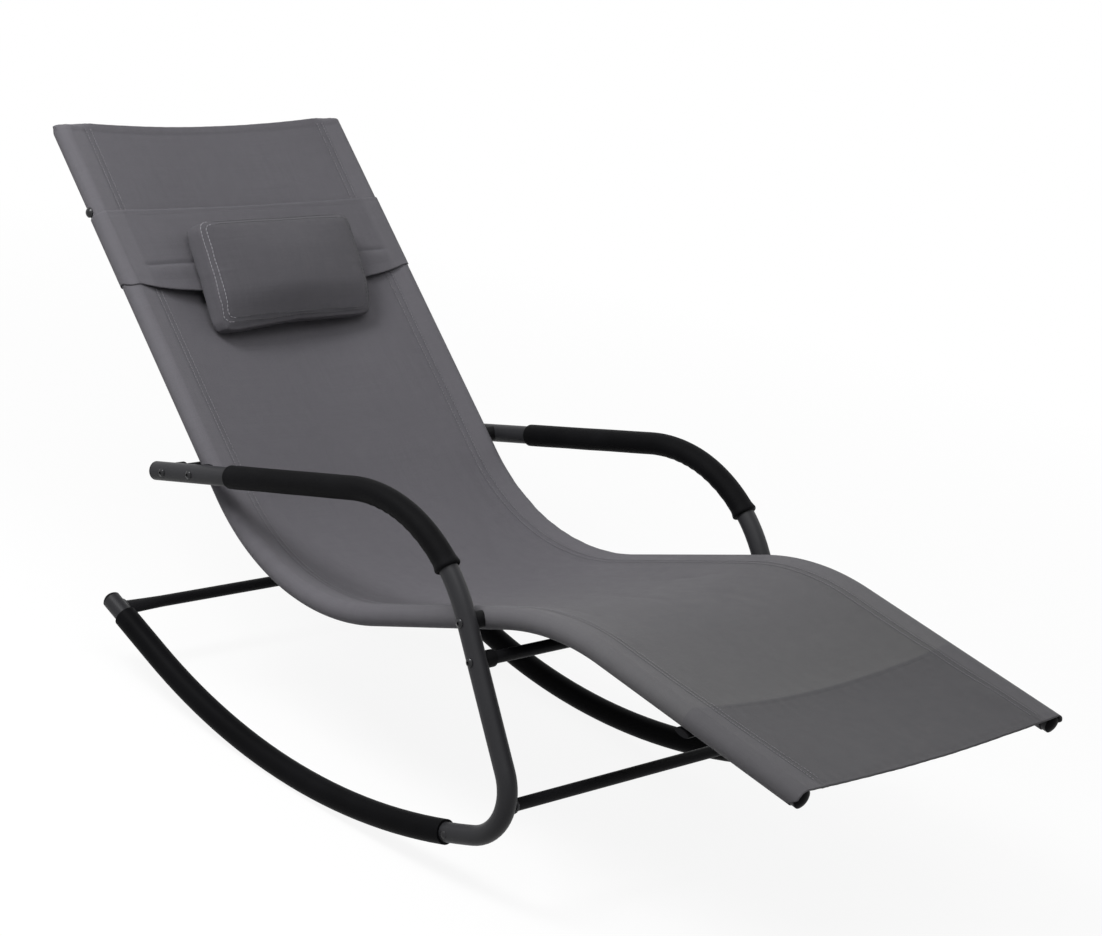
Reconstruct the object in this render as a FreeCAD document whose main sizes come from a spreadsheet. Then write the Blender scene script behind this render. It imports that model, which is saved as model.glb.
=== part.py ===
# Rocking chaise lounge: a bent steel tube frame on two curved runners, a sling seat held
# between two S-shaped rails, and a head pillow on a band that slides along the back.
import FreeCAD
import Part
import math
import os
import Sketcher

os.makedirs("parts", exist_ok=True)
doc = FreeCAD.newDocument("rocking_chaise")
Vector = FreeCAD.Vector

# Driving sizes in millimetres and degrees
sizes = {
    "tube_diameter": 25.4,
    "tube_wall": 1.2,
    "bar_diameter": 16.0,
    "bar_wall": 1.2,
    "arm_spacing": 565.0,
    "rail_spacing": 496.0,
    "rocker_radius": 891.0,
    "rocker_rear_angle": 33.2,
    "rocker_tail": 113.0,
    "leg_seam_forward": 122.7,
    "leg_below_seam": 120.0,
    "leg_angle": 70.3,
    "front_bend_radius": 65.485,
    "arm_slope": 2.4,
    "arm_bend_radius": 200.0,
    "arm_overhang": 79.5,
    "leg_above_seam": 77.5,
    "spigot_length": 50.0,
    "leg_joint_above_seam": 66.82,
    "seat_behind_leg": 200.6,
    "back_angle": 54.9,
    "back_length": 570.0,
    "seat_bend_radius": 302.0,
    "seat_rise": 6.7,
    "seat_length": 232.0,
    "knee_bend_radius": 325.0,
    "footrest_drop": 22.2,
    "footrest_length": 317.0,
    "grip_diameter": 31.0,
    "grip_start": 148.0,
    "grip_turn": 56.0,
    "sleeve_diameter": 32.0,
    "sleeve_front_angle": 4.0,
    "sleeve_on_tail": 79.0,
    "slide_fit": 0.2,
    "fabric_thickness": 1.2,
    "fabric_fit": 0.3,
    "sling_sag": 22.0,
    "sling_past_rail": 9.0,
    "sling_short_of_foot": 7.0,
    "hem_width": 28.0,
    "bolt_diameter": 6.0,
    "bolt_head_diameter": 11.0,
    "bolt_clearance": 0.5,
    "spacer_diameter": 22.0,
    "insert_diameter": 9.0,
    "insert_length": 14.0,
    "rear_arm_bolt": 24.5,
    "seat_bar_above_seam": 18.0,
    "front_bar_turn": 38.0,
    "rear_bar_on_tail": 95.0,
    "rear_bar_taper": 60.0,
    "rear_bar_flat": 12.0,
    "rear_bar_end_width": 24.0,
    "rear_bar_end_thickness": 11.0,
    "back_bar_distance": 128.0,
    "back_bar_bow": 30.0,
    "foot_bar_distance": 144.0,
    "foot_bar_taper": 22.0,
    "foot_bar_flat": 30.0,
    "foot_bar_end_width": 22.0,
    "foot_bar_end_thickness": 8.0,
    "foot_bar_overhang": 9.0,
    "foot_screw_length": 14.0,
    "band_width": 107.0,
    "band_gap": 0.5,
    "band_dip": 6.0,
    "pillow_width": 288.0,
    "pillow_height": 150.0,
    "pillow_thickness": 34.0,
    "pillow_below_band_top": 41.0,
    "pillow_lift": 24.3,
    "pillow_tilt": 10.5,
    "rest_tilt": 15.43,
    "frame_shift": -43.1,
}

sheet = doc.addObject("Spreadsheet::Sheet", "Sizes")
for row, (alias, value) in enumerate(sizes.items(), start=1):
    sheet.set("A%d" % row, alias.replace("_", " "))
    sheet.set("B%d" % row, str(value))
    sheet.setAlias("B%d" % row, alias)
doc.recompute()


def size(alias):
    return float(sheet.get(alias))


def sine(angle):
    return math.sin(math.radians(angle))


def cosine(angle):
    return math.cos(math.radians(angle))


# Sizes that follow from the driving ones
tube_radius = size("tube_diameter") / 2
bar_radius = size("bar_diameter") / 2
arm_plane = size("arm_spacing") / 2
rail_plane = size("rail_spacing") / 2
hem_inner = tube_radius + size("fabric_fit")
hem_outer = hem_inner + size("fabric_thickness")
band_inner = hem_outer + size("band_gap")
band_outer = band_inner + size("fabric_thickness")
runner_radius = size("sleeve_diameter") / 2


# Attitude at rest: the runner circle's centre stands above its contact with the floor
attitude = FreeCAD.Placement(
    Vector(size("frame_shift"), 0, size("rocker_radius") + runner_radius),
    FreeCAD.Rotation(Vector(0, 1, 0), -size("rest_tilt")))


def side_placement(point, heading, y):
    turn = FreeCAD.Rotation(Vector(0, 1, 0), -heading)
    return attitude.multiply(FreeCAD.Placement(Vector(point[0], y, point[1]), turn))


# A centre line in the side plane, made of straight runs and arcs
def walk(point, heading, steps):
    stations = [(point, heading)]
    for step in steps:
        x, z = point
        if step[0] == "line":
            length = step[1]
            point = (x + length * cosine(heading), z + length * sine(heading))
        else:
            radius, turn = step[1], step[2]
            side = 1 if turn > 0 else -1
            centre = (x - side * radius * sine(heading), z + side * radius * cosine(heading))
            heading = heading + turn
            point = (centre[0] + side * radius * sine(heading),
                     centre[1] - side * radius * cosine(heading))
        stations.append((point, heading))
    return stations


def move_on(station, length):
    (x, z), heading = station
    return (x + length * cosine(heading), z + length * sine(heading))


def arc_point(station, radius, turn):
    return walk(station[0], station[1], [("arc", radius, turn)])[-1]


def crossing(first, second):
    (x1, z1), h1 = first
    (x2, z2), h2 = second
    spread = cosine(h1) * sine(h2) - sine(h1) * cosine(h2)
    along = ((x2 - x1) * sine(h2) - (z2 - z1) * cosine(h2)) / spread
    return (x1 + along * cosine(h1), z1 + along * sine(h1))


# Side frame lines, measured from the centre of the runner circle.
# Rocker tube: the leg runs down to a small bend, which ends on the runner circle.
bend_radius = size("front_bend_radius")
leg_down = (cosine(size("leg_angle")), -sine(size("leg_angle")))
bend_side = (-sine(size("leg_angle")), -cosine(size("leg_angle")))
bend_offset = [size("leg_below_seam") * down + bend_radius * side for down, side in zip(leg_down, bend_side)]
bend_forward = size("leg_seam_forward") + bend_offset[0]
bend_drop = math.sqrt((size("rocker_radius") - bend_radius) ** 2 - bend_forward ** 2)
bend_centre = (bend_forward, -bend_drop)
leg_seam = (size("leg_seam_forward"), -bend_drop - bend_offset[1])
leg_upwards = (leg_seam, 180 - size("leg_angle"))
runner_front_angle = math.degrees(math.atan2(bend_centre[0], -bend_centre[1]))
bend_turn = 180 - size("leg_angle") - runner_front_angle
runner_turn = runner_front_angle + size("rocker_rear_angle")
rocker_steps = [("line", size("leg_below_seam")),
                ("arc", bend_radius, -bend_turn),
                ("arc", size("rocker_radius"), -runner_turn),
                ("line", size("rocker_tail"))]
rocker_line = walk(leg_seam, -size("leg_angle"), rocker_steps)

# Rail: the seat is bolted to the leg, and the back rises from the seat's rear end
leg_joint = move_on(leg_upwards, size("leg_joint_above_seam"))
seat_rear = move_on((leg_joint, size("seat_rise")), -size("seat_behind_leg"))
back_turn = size("back_angle") + size("seat_rise")
up_the_back = [("arc", size("seat_bend_radius"), -back_turn),
               ("line", size("back_length"))]
rail_top = walk(seat_rear, 180 + size("seat_rise"), up_the_back)[-1][0]
rail_steps = [("line", size("back_length")),
              ("arc", size("seat_bend_radius"), back_turn),
              ("line", size("seat_length")),
              ("arc", size("knee_bend_radius"), -size("seat_rise") - size("footrest_drop")),
              ("line", size("footrest_length"))]
rail_line = walk(rail_top, -size("back_angle"), rail_steps)

# Arm: it reaches back past the rail that it is bolted to
arm_heading = size("arm_slope")
arm_turn = size("arm_slope") + size("leg_angle")
up_the_arm = [("line", size("leg_above_seam")),
              ("arc", size("arm_bend_radius"), arm_turn)]
arm_front = walk(*leg_upwards, up_the_arm)[-1]
arm_joint = crossing(arm_front, rail_line[0])
arm_straight = math.dist(arm_front[0], arm_joint) + size("arm_overhang")
arm_rear_end = move_on(arm_front, arm_straight)
arm_steps = [("line", arm_straight),
             ("arc", size("arm_bend_radius"), -arm_turn),
             ("line", size("leg_above_seam"))]
arm_line = walk(arm_rear_end, arm_heading, arm_steps)


# Places of the joints
rear_arm_joint = move_on(arm_line[0], size("rear_arm_bolt"))
seat_bar_joint = move_on(leg_upwards, size("seat_bar_above_seam"))
front_bar_joint = arc_point(rocker_line[1], bend_radius, -size("front_bar_turn"))[0]
rear_bar_joint = move_on(rocker_line[3], size("rear_bar_on_tail"))
back_bar_joint = move_on(rail_line[0], size("back_bar_distance"))
back_bar_low = 3.0
back_bolt_point = (back_bar_joint[0] - back_bar_low * sine(size("back_angle")),
                   back_bar_joint[1] - back_bar_low * cosine(size("back_angle")))
foot_bar_joint = move_on(rail_line[4], size("foot_bar_distance"))
runner_bottom = ((0, -size("rocker_radius")), 0)
sleeve_front = arc_point(runner_bottom, size("rocker_radius"), size("sleeve_front_angle"))
rivet_lead = 0.5
stop_rivet_joint = arc_point(sleeve_front, size("rocker_radius"), rivet_lead)[0]


def local_point(point, line):
    (x0, z0), heading = line[0]
    dx, dz = point[0] - x0, point[1] - z0
    return (dx * cosine(heading) + dz * sine(heading),
            dz * cosine(heading) - dx * sine(heading))


# Sketch helpers
def origin_plane(body, role):
    for item in body.Origin.OriginFeatures:
        if item.Role == role:
            return item
    raise ValueError(role)


def new_sketch(body, name, role, offset=None):
    sketch = body.newObject("Sketcher::SketchObject", name)
    sketch.AttachmentSupport = [(origin_plane(body, role), "")]
    sketch.MapMode = "FlatFace"
    if offset is not None:
        sketch.AttachmentOffset = offset
    return sketch


def add_circle(sketch, x, y, radius, expression):
    index = sketch.addGeometry(Part.Circle(Vector(x, y, 0), Vector(0, 0, 1), radius), False)
    constraint = sketch.addConstraint(Sketcher.Constraint("Radius", index, radius))
    sketch.setExpression("Constraints[%d]" % constraint, expression)
    sketch.addConstraint(Sketcher.Constraint("DistanceX", -1, 1, index, 3, x))
    sketch.addConstraint(Sketcher.Constraint("DistanceY", -1, 1, index, 3, y))
    return index


def plane_arc(centre, radius, start, end):
    circle = Part.Circle(Vector(centre[0], centre[1], 0), Vector(0, 0, 1), radius)
    return Part.ArcOfCircle(circle, math.radians(start), math.radians(end))


def add_path(sketch, steps):
    stations = walk((0, 0), 0, steps)
    for (start, heading), (end, _), step in zip(stations, stations[1:], steps):
        if step[0] == "line":
            sketch.addGeometry(Part.LineSegment(Vector(*start, 0), Vector(*end, 0)), False)
            continue
        radius, turn = step[1], step[2]
        side = 1 if turn > 0 else -1
        centre = (start[0] - side * radius * sine(heading), start[1] + side * radius * cosine(heading))
        first = heading - side * 90
        last = first + turn
        sketch.addGeometry(plane_arc(centre, radius, min(first, last), max(first, last)), False)
    return len(steps)


# Bodies
def new_body(label):
    body = doc.addObject("PartDesign::Body", label)
    body.Label = label
    return body


def add_pipe(body, profile, path, edges):
    pipe = body.newObject("PartDesign::AdditivePipe", "Sweep")
    pipe.Profile = profile
    pipe.Spine = (path, ["Edge%d" % (i + 1) for i in range(edges)])
    pipe.Mode = "Standard"
    return pipe


def bent_tube(label, steps, outer, inner):
    body = new_body(label)
    path = new_sketch(body, label + "_path", "XZ_Plane")
    edges = add_path(path, steps)
    profile = new_sketch(body, label + "_section", "YZ_Plane")
    add_circle(profile, 0, 0, outer[0], outer[1])
    add_circle(profile, 0, 0, inner[0], inner[1])
    add_pipe(body, profile, path, edges)
    doc.recompute()
    return body


def cross_holes(body, points, radius, expression):
    sketch = new_sketch(body, "Holes", "XZ_Plane")
    for x, y in points:
        add_circle(sketch, x, y, radius, expression)
    pocket = body.newObject("PartDesign::Pocket", "CrossHoles")
    pocket.Profile = sketch
    pocket.Type = "ThroughAll"
    pocket.Midplane = True
    doc.recompute()
    return pocket


def outer_holes(body, points, radius, expression):
    sketch = new_sketch(body, "SideHoles", "XZ_Plane")
    for x, y in points:
        add_circle(sketch, x, y, radius, expression)
    pocket = body.newObject("PartDesign::Pocket", "SidePocket")
    pocket.Profile = sketch
    pocket.Type = "Length"
    pocket.setExpression("Length", "Sizes.tube_diameter")
    doc.recompute()
    return pocket


def mirror_of(source, label):
    mirror = doc.addObject("Part::Mirroring", label)
    mirror.Source = source
    mirror.Normal = Vector(0, 1, 0)
    mirror.Base = Vector(0, 0, 0)
    mirror.Label = label
    doc.recompute()
    return mirror


def group_of(members, label):
    group = doc.addObject("Part::Compound", label)
    group.Links = members
    group.Label = label
    doc.recompute()
    return group


nodes = []


def keep(item):
    nodes.append(item)
    return item


def keep_both(left, name):
    left.Label = name + "_left"
    keep(left)
    keep(mirror_of(left, name + "_right"))


tube_outer = (tube_radius, "Sizes.tube_diameter / 2")
tube_inner = (tube_radius - size("tube_wall"), "Sizes.tube_diameter / 2 - Sizes.tube_wall")
hole = (size("bolt_diameter") / 2 + size("bolt_clearance") / 2,
        "Sizes.bolt_diameter / 2 + Sizes.bolt_clearance / 2")
insert_hole = (size("insert_diameter") / 2 + 0.1, "Sizes.insert_diameter / 2 + 0.1")
thread_fit = 0.05


# Arm, its bend and the upper leg are one bent tube
def arm_tube():
    body = bent_tube("arm_tube", arm_steps, tube_outer, tube_inner)
    joints = [arm_joint, leg_joint, rear_arm_joint, seat_bar_joint]
    cross_holes(body, [local_point(p, arm_line) for p in joints], *hole)
    body.Placement = side_placement(arm_line[0][0], arm_line[0][1], arm_plane)
    return body


# Lower leg, small bend and runner are one bent tube with a swaged upper end
def rocker_tube():
    body = bent_tube("rocker_tube", rocker_steps, tube_outer, tube_inner)
    wall = size("tube_wall")
    spigot_outer = tube_radius - wall - size("slide_fit")
    spigot = new_sketch(body, "Spigot", "YZ_Plane")
    add_circle(spigot, 0, 0, spigot_outer, "Sizes.tube_diameter / 2 - Sizes.tube_wall - Sizes.slide_fit")
    add_circle(spigot, 0, 0, spigot_outer - wall,
               "Sizes.tube_diameter / 2 - 2 * Sizes.tube_wall - Sizes.slide_fit")
    pad = body.newObject("PartDesign::Pad", "SpigotPad")
    pad.Profile = spigot
    pad.setExpression("Length", "Sizes.spigot_length")
    pad.Reversed = True
    shoulder = new_sketch(body, "Shoulder", "YZ_Plane")
    add_circle(shoulder, 0, 0, *tube_outer)
    add_circle(shoulder, 0, 0, spigot_outer - wall,
               "Sizes.tube_diameter / 2 - 2 * Sizes.tube_wall - Sizes.slide_fit")
    shoulder_pad = body.newObject("PartDesign::Pad", "ShoulderPad")
    shoulder_pad.Profile = shoulder
    shoulder_pad.setExpression("Length", "2.5 * Sizes.tube_wall")
    doc.recompute()
    cross_holes(body, [local_point(p, rocker_line) for p in (seat_bar_joint, stop_rivet_joint)], *hole)
    body.Placement = side_placement(rocker_line[0][0], rocker_line[0][1], arm_plane)
    return body


def seat_rail():
    body = bent_tube("seat_rail", rail_steps, tube_outer, tube_inner)
    outer_side = [local_point(p, rail_line) for p in (arm_joint, leg_joint)]
    outer_holes(body, outer_side, *insert_hole)
    cross_holes(body, [local_point(back_bolt_point, rail_line)], *hole)
    body.Placement = side_placement(rail_line[0][0], rail_line[0][1], rail_plane)
    return body


# Foam grip over the arm and its bend
def arm_grip():
    start = move_on(arm_line[0], size("grip_start"))
    steps = [("line", arm_straight - size("grip_start")),
             ("arc", size("arm_bend_radius"), -size("grip_turn"))]
    body = bent_tube("arm_grip", steps,
                     (size("grip_diameter") / 2, "Sizes.grip_diameter / 2"),
                     (tube_radius + size("slide_fit"), "Sizes.tube_diameter / 2 + Sizes.slide_fit"))
    body.Placement = side_placement(start, arm_line[0][1], arm_plane)
    return body


# Moulded sleeve on which the runner rolls
def rocker_sleeve():
    steps = [("arc", size("rocker_radius"), -size("sleeve_front_angle") - size("rocker_rear_angle")),
             ("line", size("sleeve_on_tail"))]
    body = bent_tube("rocker_sleeve", steps,
                     (runner_radius, "Sizes.sleeve_diameter / 2"),
                     (tube_radius + size("slide_fit"), "Sizes.tube_diameter / 2 + Sizes.slide_fit"))
    body.Placement = side_placement(sleeve_front[0], sleeve_front[1] + 180, arm_plane)
    return body


# Round cap centred on the turning axis: from the rim at `level` to the top of the dome
def cap_arc(level, rise, rim, along_x, side=1):
    ball = (rim ** 2 + rise ** 2) / (2 * rise)
    half = math.degrees(math.asin(rim / ball)) / 2
    points = [(level, rim), (level + side * (rise - ball + ball * cosine(half)), ball * sine(half)),
              (level + side * rise, 0)]
    if not along_x:
        points = [(across, along) for along, across in points]
    return Part.Arc(*[Vector(a, b, 0) for a, b in points])


# Moulded plug: a stem inside the tube and a rim with a low dome outside
def end_plug(label, point, heading, y, dome):
    body = new_body(label)
    sketch = new_sketch(body, "Outline", "XY_Plane")
    stem = tube_radius - size("tube_wall") - size("slide_fit")
    rim = tube_radius
    corners = [(-14, 0), (-14, stem - 1.5), (0, stem), (0, rim), (1.5, rim)]
    for a, b in zip(corners, corners[1:]):
        sketch.addGeometry(Part.LineSegment(Vector(*a, 0), Vector(*b, 0)), False)
    sketch.addGeometry(cap_arc(1.5, dome, rim, True), False)
    sketch.addGeometry(Part.LineSegment(Vector(1.5 + dome, 0, 0), Vector(-14, 0, 0)), False)
    turned = body.newObject("PartDesign::Revolution", "Turned")
    turned.Profile = sketch
    turned.ReferenceAxis = (sketch, ["H_Axis"])
    turned.Angle = 360
    doc.recompute()
    body.Placement = side_placement(point, heading, y)
    return body


# Bar welded to the small bends at the front of the runners
def front_rocker_bar():
    body = straight_bar("front_rocker_bar", arm_plane - tube_radius + 6)
    tools = []
    for side in (1, -1):
        ring = doc.addObject("Part::Torus", "BendCope")
        ring.Radius1 = bend_radius
        ring.Radius2 = tube_radius
        offset = (bend_centre[0] - front_bar_joint[0], bend_centre[1] - front_bar_joint[1])
        ring.Placement = FreeCAD.Placement(Vector(offset[0], side * arm_plane, offset[1]),
                                           FreeCAD.Rotation(Vector(1, 0, 0), 90))
        tools.append(ring)
    return shaped_bar(body, tools, "front_rocker_bar", side_placement(front_bar_joint, 0, 0))


def straight_bar(label, half_length):
    body = new_body(label + "_blank")
    sketch = new_sketch(body, "Section", "XZ_Plane")
    add_circle(sketch, 0, 0, bar_radius, "Sizes.bar_diameter / 2")
    add_circle(sketch, 0, 0, bar_radius - size("bar_wall"), "Sizes.bar_diameter / 2 - Sizes.bar_wall")
    pad = body.newObject("PartDesign::Pad", "Tube")
    pad.Profile = sketch
    pad.Length = 2 * half_length
    pad.Midplane = True
    doc.recompute()
    return body


def shaped_bar(body, tools, label, placement):
    cope = doc.addObject("Part::MultiFuse", label + "_copes")
    cope.Shapes = tools
    cut = doc.addObject("Part::Cut", label)
    cut.Base = body
    cut.Tool = cope
    cut.Label = label
    doc.recompute()
    cut.Placement = placement
    doc.recompute()
    return cut


def cylinder(name, radius, start, direction, length):
    tool = doc.addObject("Part::Cylinder", name)
    tool.Radius = radius
    tool.Height = length
    tool.Placement = FreeCAD.Placement(Vector(*start), FreeCAD.Rotation(Vector(0, 0, 1), Vector(*direction)))
    return tool


def tube_copes(radius, plane):
    return [cylinder("TubeCope", radius, (-60, side * plane, 0), (1, 0, 0), 120) for side in (1, -1)]


# Bar whose ends are pressed flat: round in the middle, oval at both ends
def pressed_bar(label, half_length, taper, flat, half_width, half_thickness):
    body = new_body(label + "_blank")
    straight = half_length - taper - flat
    ring = new_sketch(body, "Section", "XZ_Plane")
    add_circle(ring, 0, 0, bar_radius, "Sizes.bar_diameter / 2")
    pad = body.newObject("PartDesign::Pad", "Middle")
    pad.Profile = ring
    pad.Length = 2 * straight
    pad.Midplane = True
    doc.recompute()
    for side in (1, -1):
        near = new_sketch(body, "Round", "XZ_Plane",
                          FreeCAD.Placement(Vector(0, 0, -side * straight), FreeCAD.Rotation()))
        add_circle(near, 0, 0, bar_radius, "Sizes.bar_diameter / 2")
        far = new_sketch(body, "Pressed", "XZ_Plane",
                         FreeCAD.Placement(Vector(0, 0, -side * (straight + taper)), FreeCAD.Rotation()))
        far.addGeometry(Part.Ellipse(Vector(0, 0, 0), half_width, half_thickness), False)
        loft = body.newObject("PartDesign::AdditiveLoft", "Press")
        loft.Profile = near
        loft.Sections = [far]
        doc.recompute()
        if flat > 0:
            tongue = body.newObject("PartDesign::Pad", "Tongue")
            tongue.Profile = far
            tongue.Length = flat
            tongue.Reversed = side > 0
            doc.recompute()
    bore = new_sketch(body, "Bore", "XZ_Plane")
    add_circle(bore, 0, 0, bar_radius - size("bar_wall"), "Sizes.bar_diameter / 2 - Sizes.bar_wall")
    pocket = body.newObject("PartDesign::Pocket", "BoreCut")
    pocket.Profile = bore
    pocket.Type = "Length"
    pocket.Length = 2 * straight
    pocket.Midplane = True
    doc.recompute()
    return body


def rear_rocker_bar():
    half = arm_plane - tube_radius + bar_radius
    body = pressed_bar("rear_rocker_bar", half, size("rear_bar_taper"), size("rear_bar_flat"),
                       size("rear_bar_end_width") / 2, size("rear_bar_end_thickness") / 2)
    return shaped_bar(body, tube_copes(tube_radius, arm_plane), "rear_rocker_bar",
                      side_placement(rear_bar_joint, rocker_line[4][1] - 180, 0))


# Footrest bar lies under the rails, held by a screw through each pressed end
foot_bar_depth = hem_outer + size("slide_fit") + size("foot_bar_end_thickness") / 2


def foot_bar():
    half = rail_plane + size("foot_bar_overhang")
    body = pressed_bar("footrest_bar", half, size("foot_bar_taper"), size("foot_bar_flat"),
                       size("foot_bar_end_width") / 2, size("foot_bar_end_thickness") / 2)
    reach = size("bar_diameter")
    holes = [cylinder("ScrewHole", hole[0], (0, side * rail_plane, -reach), (0, 0, 1), 2 * reach)
             for side in (1, -1)]
    (x, z) = foot_bar_joint
    drop = -foot_bar_depth
    heading = -size("footrest_drop")
    point = (x - drop * sine(heading), z + drop * cosine(heading))
    return shaped_bar(body, holes, "footrest_bar", side_placement(point, heading, 0))


# Two straight bars held by bolts between the arms and between the legs
web = 3.0
socket_depth = 10.0


def bolted_bar(label, joint):
    body = straight_bar(label, arm_plane - tube_radius - web)
    body.Label = label
    body.Placement = side_placement(joint, 0, 0)
    return body


def bar_saddle(label, joint, tube_heading):
    body = new_body(label + "_blank")
    outline = new_sketch(body, "Outline", "XZ_Plane")
    add_circle(outline, 0, 0, size("spacer_diameter") / 2, "Sizes.spacer_diameter / 2")
    pad = body.newObject("PartDesign::Pad", "Collar")
    pad.Profile = outline
    pad.Length = tube_radius + web + socket_depth
    socket = new_sketch(body, "Socket", "XZ_Plane",
                        FreeCAD.Placement(Vector(0, 0, tube_radius + web), FreeCAD.Rotation()))
    add_circle(socket, 0, 0, bar_radius + size("slide_fit"), "Sizes.bar_diameter / 2 + Sizes.slide_fit")
    pocket = body.newObject("PartDesign::Pocket", "SocketCut")
    pocket.Profile = socket
    pocket.Type = "Length"
    pocket.Length = socket_depth + 1
    pocket.Reversed = True
    doc.recompute()
    cross_holes(body, [(0, 0)], *hole)
    turn = FreeCAD.Rotation(Vector(0, 1, 0), -tube_heading)
    along = turn.multVec(Vector(1, 0, 0))
    start = along * -40
    tool = cylinder("Cope", tube_radius, (start.x, start.y, start.z), (along.x, along.y, along.z), 80)
    cut = doc.addObject("Part::Cut", label)
    cut.Base = body
    cut.Tool = tool
    doc.recompute()
    cut.Placement = side_placement(joint, 0, arm_plane)
    doc.recompute()
    return cut


# Upper back bar is cranked rearwards to stay clear of the sling
def crank_steps():
    turn, radius, end = 22.0, 50.0, 18.0
    rise = size("back_bar_bow") - back_bar_low - 2 * radius * (1 - cosine(turn))
    slope = rise / sine(turn)
    reach = rail_plane - end - 2 * radius * sine(turn) - slope * cosine(turn) - tube_radius
    half = [("line", end + tube_radius), ("arc", radius, -turn), ("line", slope), ("arc", radius, turn)]
    back = [("arc", radius, turn), ("line", slope), ("arc", radius, -turn), ("line", end + tube_radius)]
    return half + [("line", 2 * reach)] + back


def upper_back_bar():
    outer = (bar_radius, "Sizes.bar_diameter / 2")
    inner = (bar_radius - size("bar_wall"), "Sizes.bar_diameter / 2 - Sizes.bar_wall")
    body = bent_tube("upper_back_bar_blank", crank_steps(), outer, inner)
    ends = [(0, 0, back_bar_low), (2 * rail_plane, 0, back_bar_low)]
    tools = [cylinder("RailCope", tube_radius, (x, -40, z), (0, 1, 0), 80) for x, _, z in ends]
    spin = FreeCAD.Rotation(Vector(0, 0, 1), 90)
    place = side_placement(back_bolt_point, -size("back_angle"), -rail_plane)
    return shaped_bar(body, tools, "upper_back_bar", place.multiply(FreeCAD.Placement(Vector(), spin)))


# Plastic spacer between an arm tube and the rail beside it
def rail_spacer(label, joint, arm_heading_here, rail_heading_here):
    body = new_body(label + "_blank")
    outline = new_sketch(body, "Outline", "XZ_Plane")
    add_circle(outline, 0, 0, size("spacer_diameter") / 2, "Sizes.spacer_diameter / 2")
    pad = body.newObject("PartDesign::Pad", "Block")
    pad.Profile = outline
    pad.Length = arm_plane - rail_plane
    doc.recompute()
    cross_holes(body, [(0, 0)], *hole)
    tools = []
    for y, radius, heading in ((0, tube_radius, arm_heading_here),
                               (rail_plane - arm_plane, hem_outer + 0.1, rail_heading_here)):
        along = FreeCAD.Rotation(Vector(0, 1, 0), -heading).multVec(Vector(1, 0, 0))
        tools.append(cylinder("Cope", radius, (-40 * along.x, y, -40 * along.z),
                              (along.x, 0, along.z), 80))
    return shaped_bar(body, tools, label, side_placement(joint, 0, arm_plane))


# Bolt with a low domed head and a hexagon socket, axis across the chair
def bolt(label, length, head_radius, head_height, socket):
    body = new_body(label)
    outline = new_sketch(body, "Outline", "XY_Plane")
    shank = size("bolt_diameter") / 2
    points = [(0, head_height), (0, -length), (shank - 0.8, -length), (shank, -length + 0.8),
              (shank, 0), (head_radius, 0), (head_radius, head_height * 0.25)]
    for a, b in zip(points, points[1:]):
        outline.addGeometry(Part.LineSegment(Vector(*a, 0), Vector(*b, 0)), False)
    outline.addGeometry(cap_arc(head_height * 0.25, head_height * 0.75, head_radius, False), False)
    turned = body.newObject("PartDesign::Revolution", "Turned")
    turned.Profile = outline
    turned.ReferenceAxis = (outline, ["V_Axis"])
    turned.Angle = 360
    doc.recompute()
    if socket > 0:
        key = new_sketch(body, "Key", "XZ_Plane",
                         FreeCAD.Placement(Vector(0, 0, -head_height), FreeCAD.Rotation()))
        corners = [Vector(socket * cosine(60 * k), socket * sine(60 * k), 0) for k in range(7)]
        for a, b in zip(corners, corners[1:]):
            key.addGeometry(Part.LineSegment(a, b), False)
        cut = body.newObject("PartDesign::Pocket", "KeyCut")
        cut.Profile = key
        cut.Type = "Length"
        cut.Length = head_height * 0.6
        cut.Reversed = True
        doc.recompute()
    return body


def threaded_insert(label, outer_radius, length):
    body = new_body(label)
    outline = new_sketch(body, "Outline", "XZ_Plane")
    add_circle(outline, 0, 0, outer_radius, str(outer_radius))
    add_circle(outline, 0, 0, size("bolt_diameter") / 2 + thread_fit,
               "Sizes.bolt_diameter / 2 + %g" % thread_fit)
    pad = body.newObject("PartDesign::Pad", "Insert")
    pad.Profile = outline
    pad.Length = length
    doc.recompute()
    return body


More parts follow.
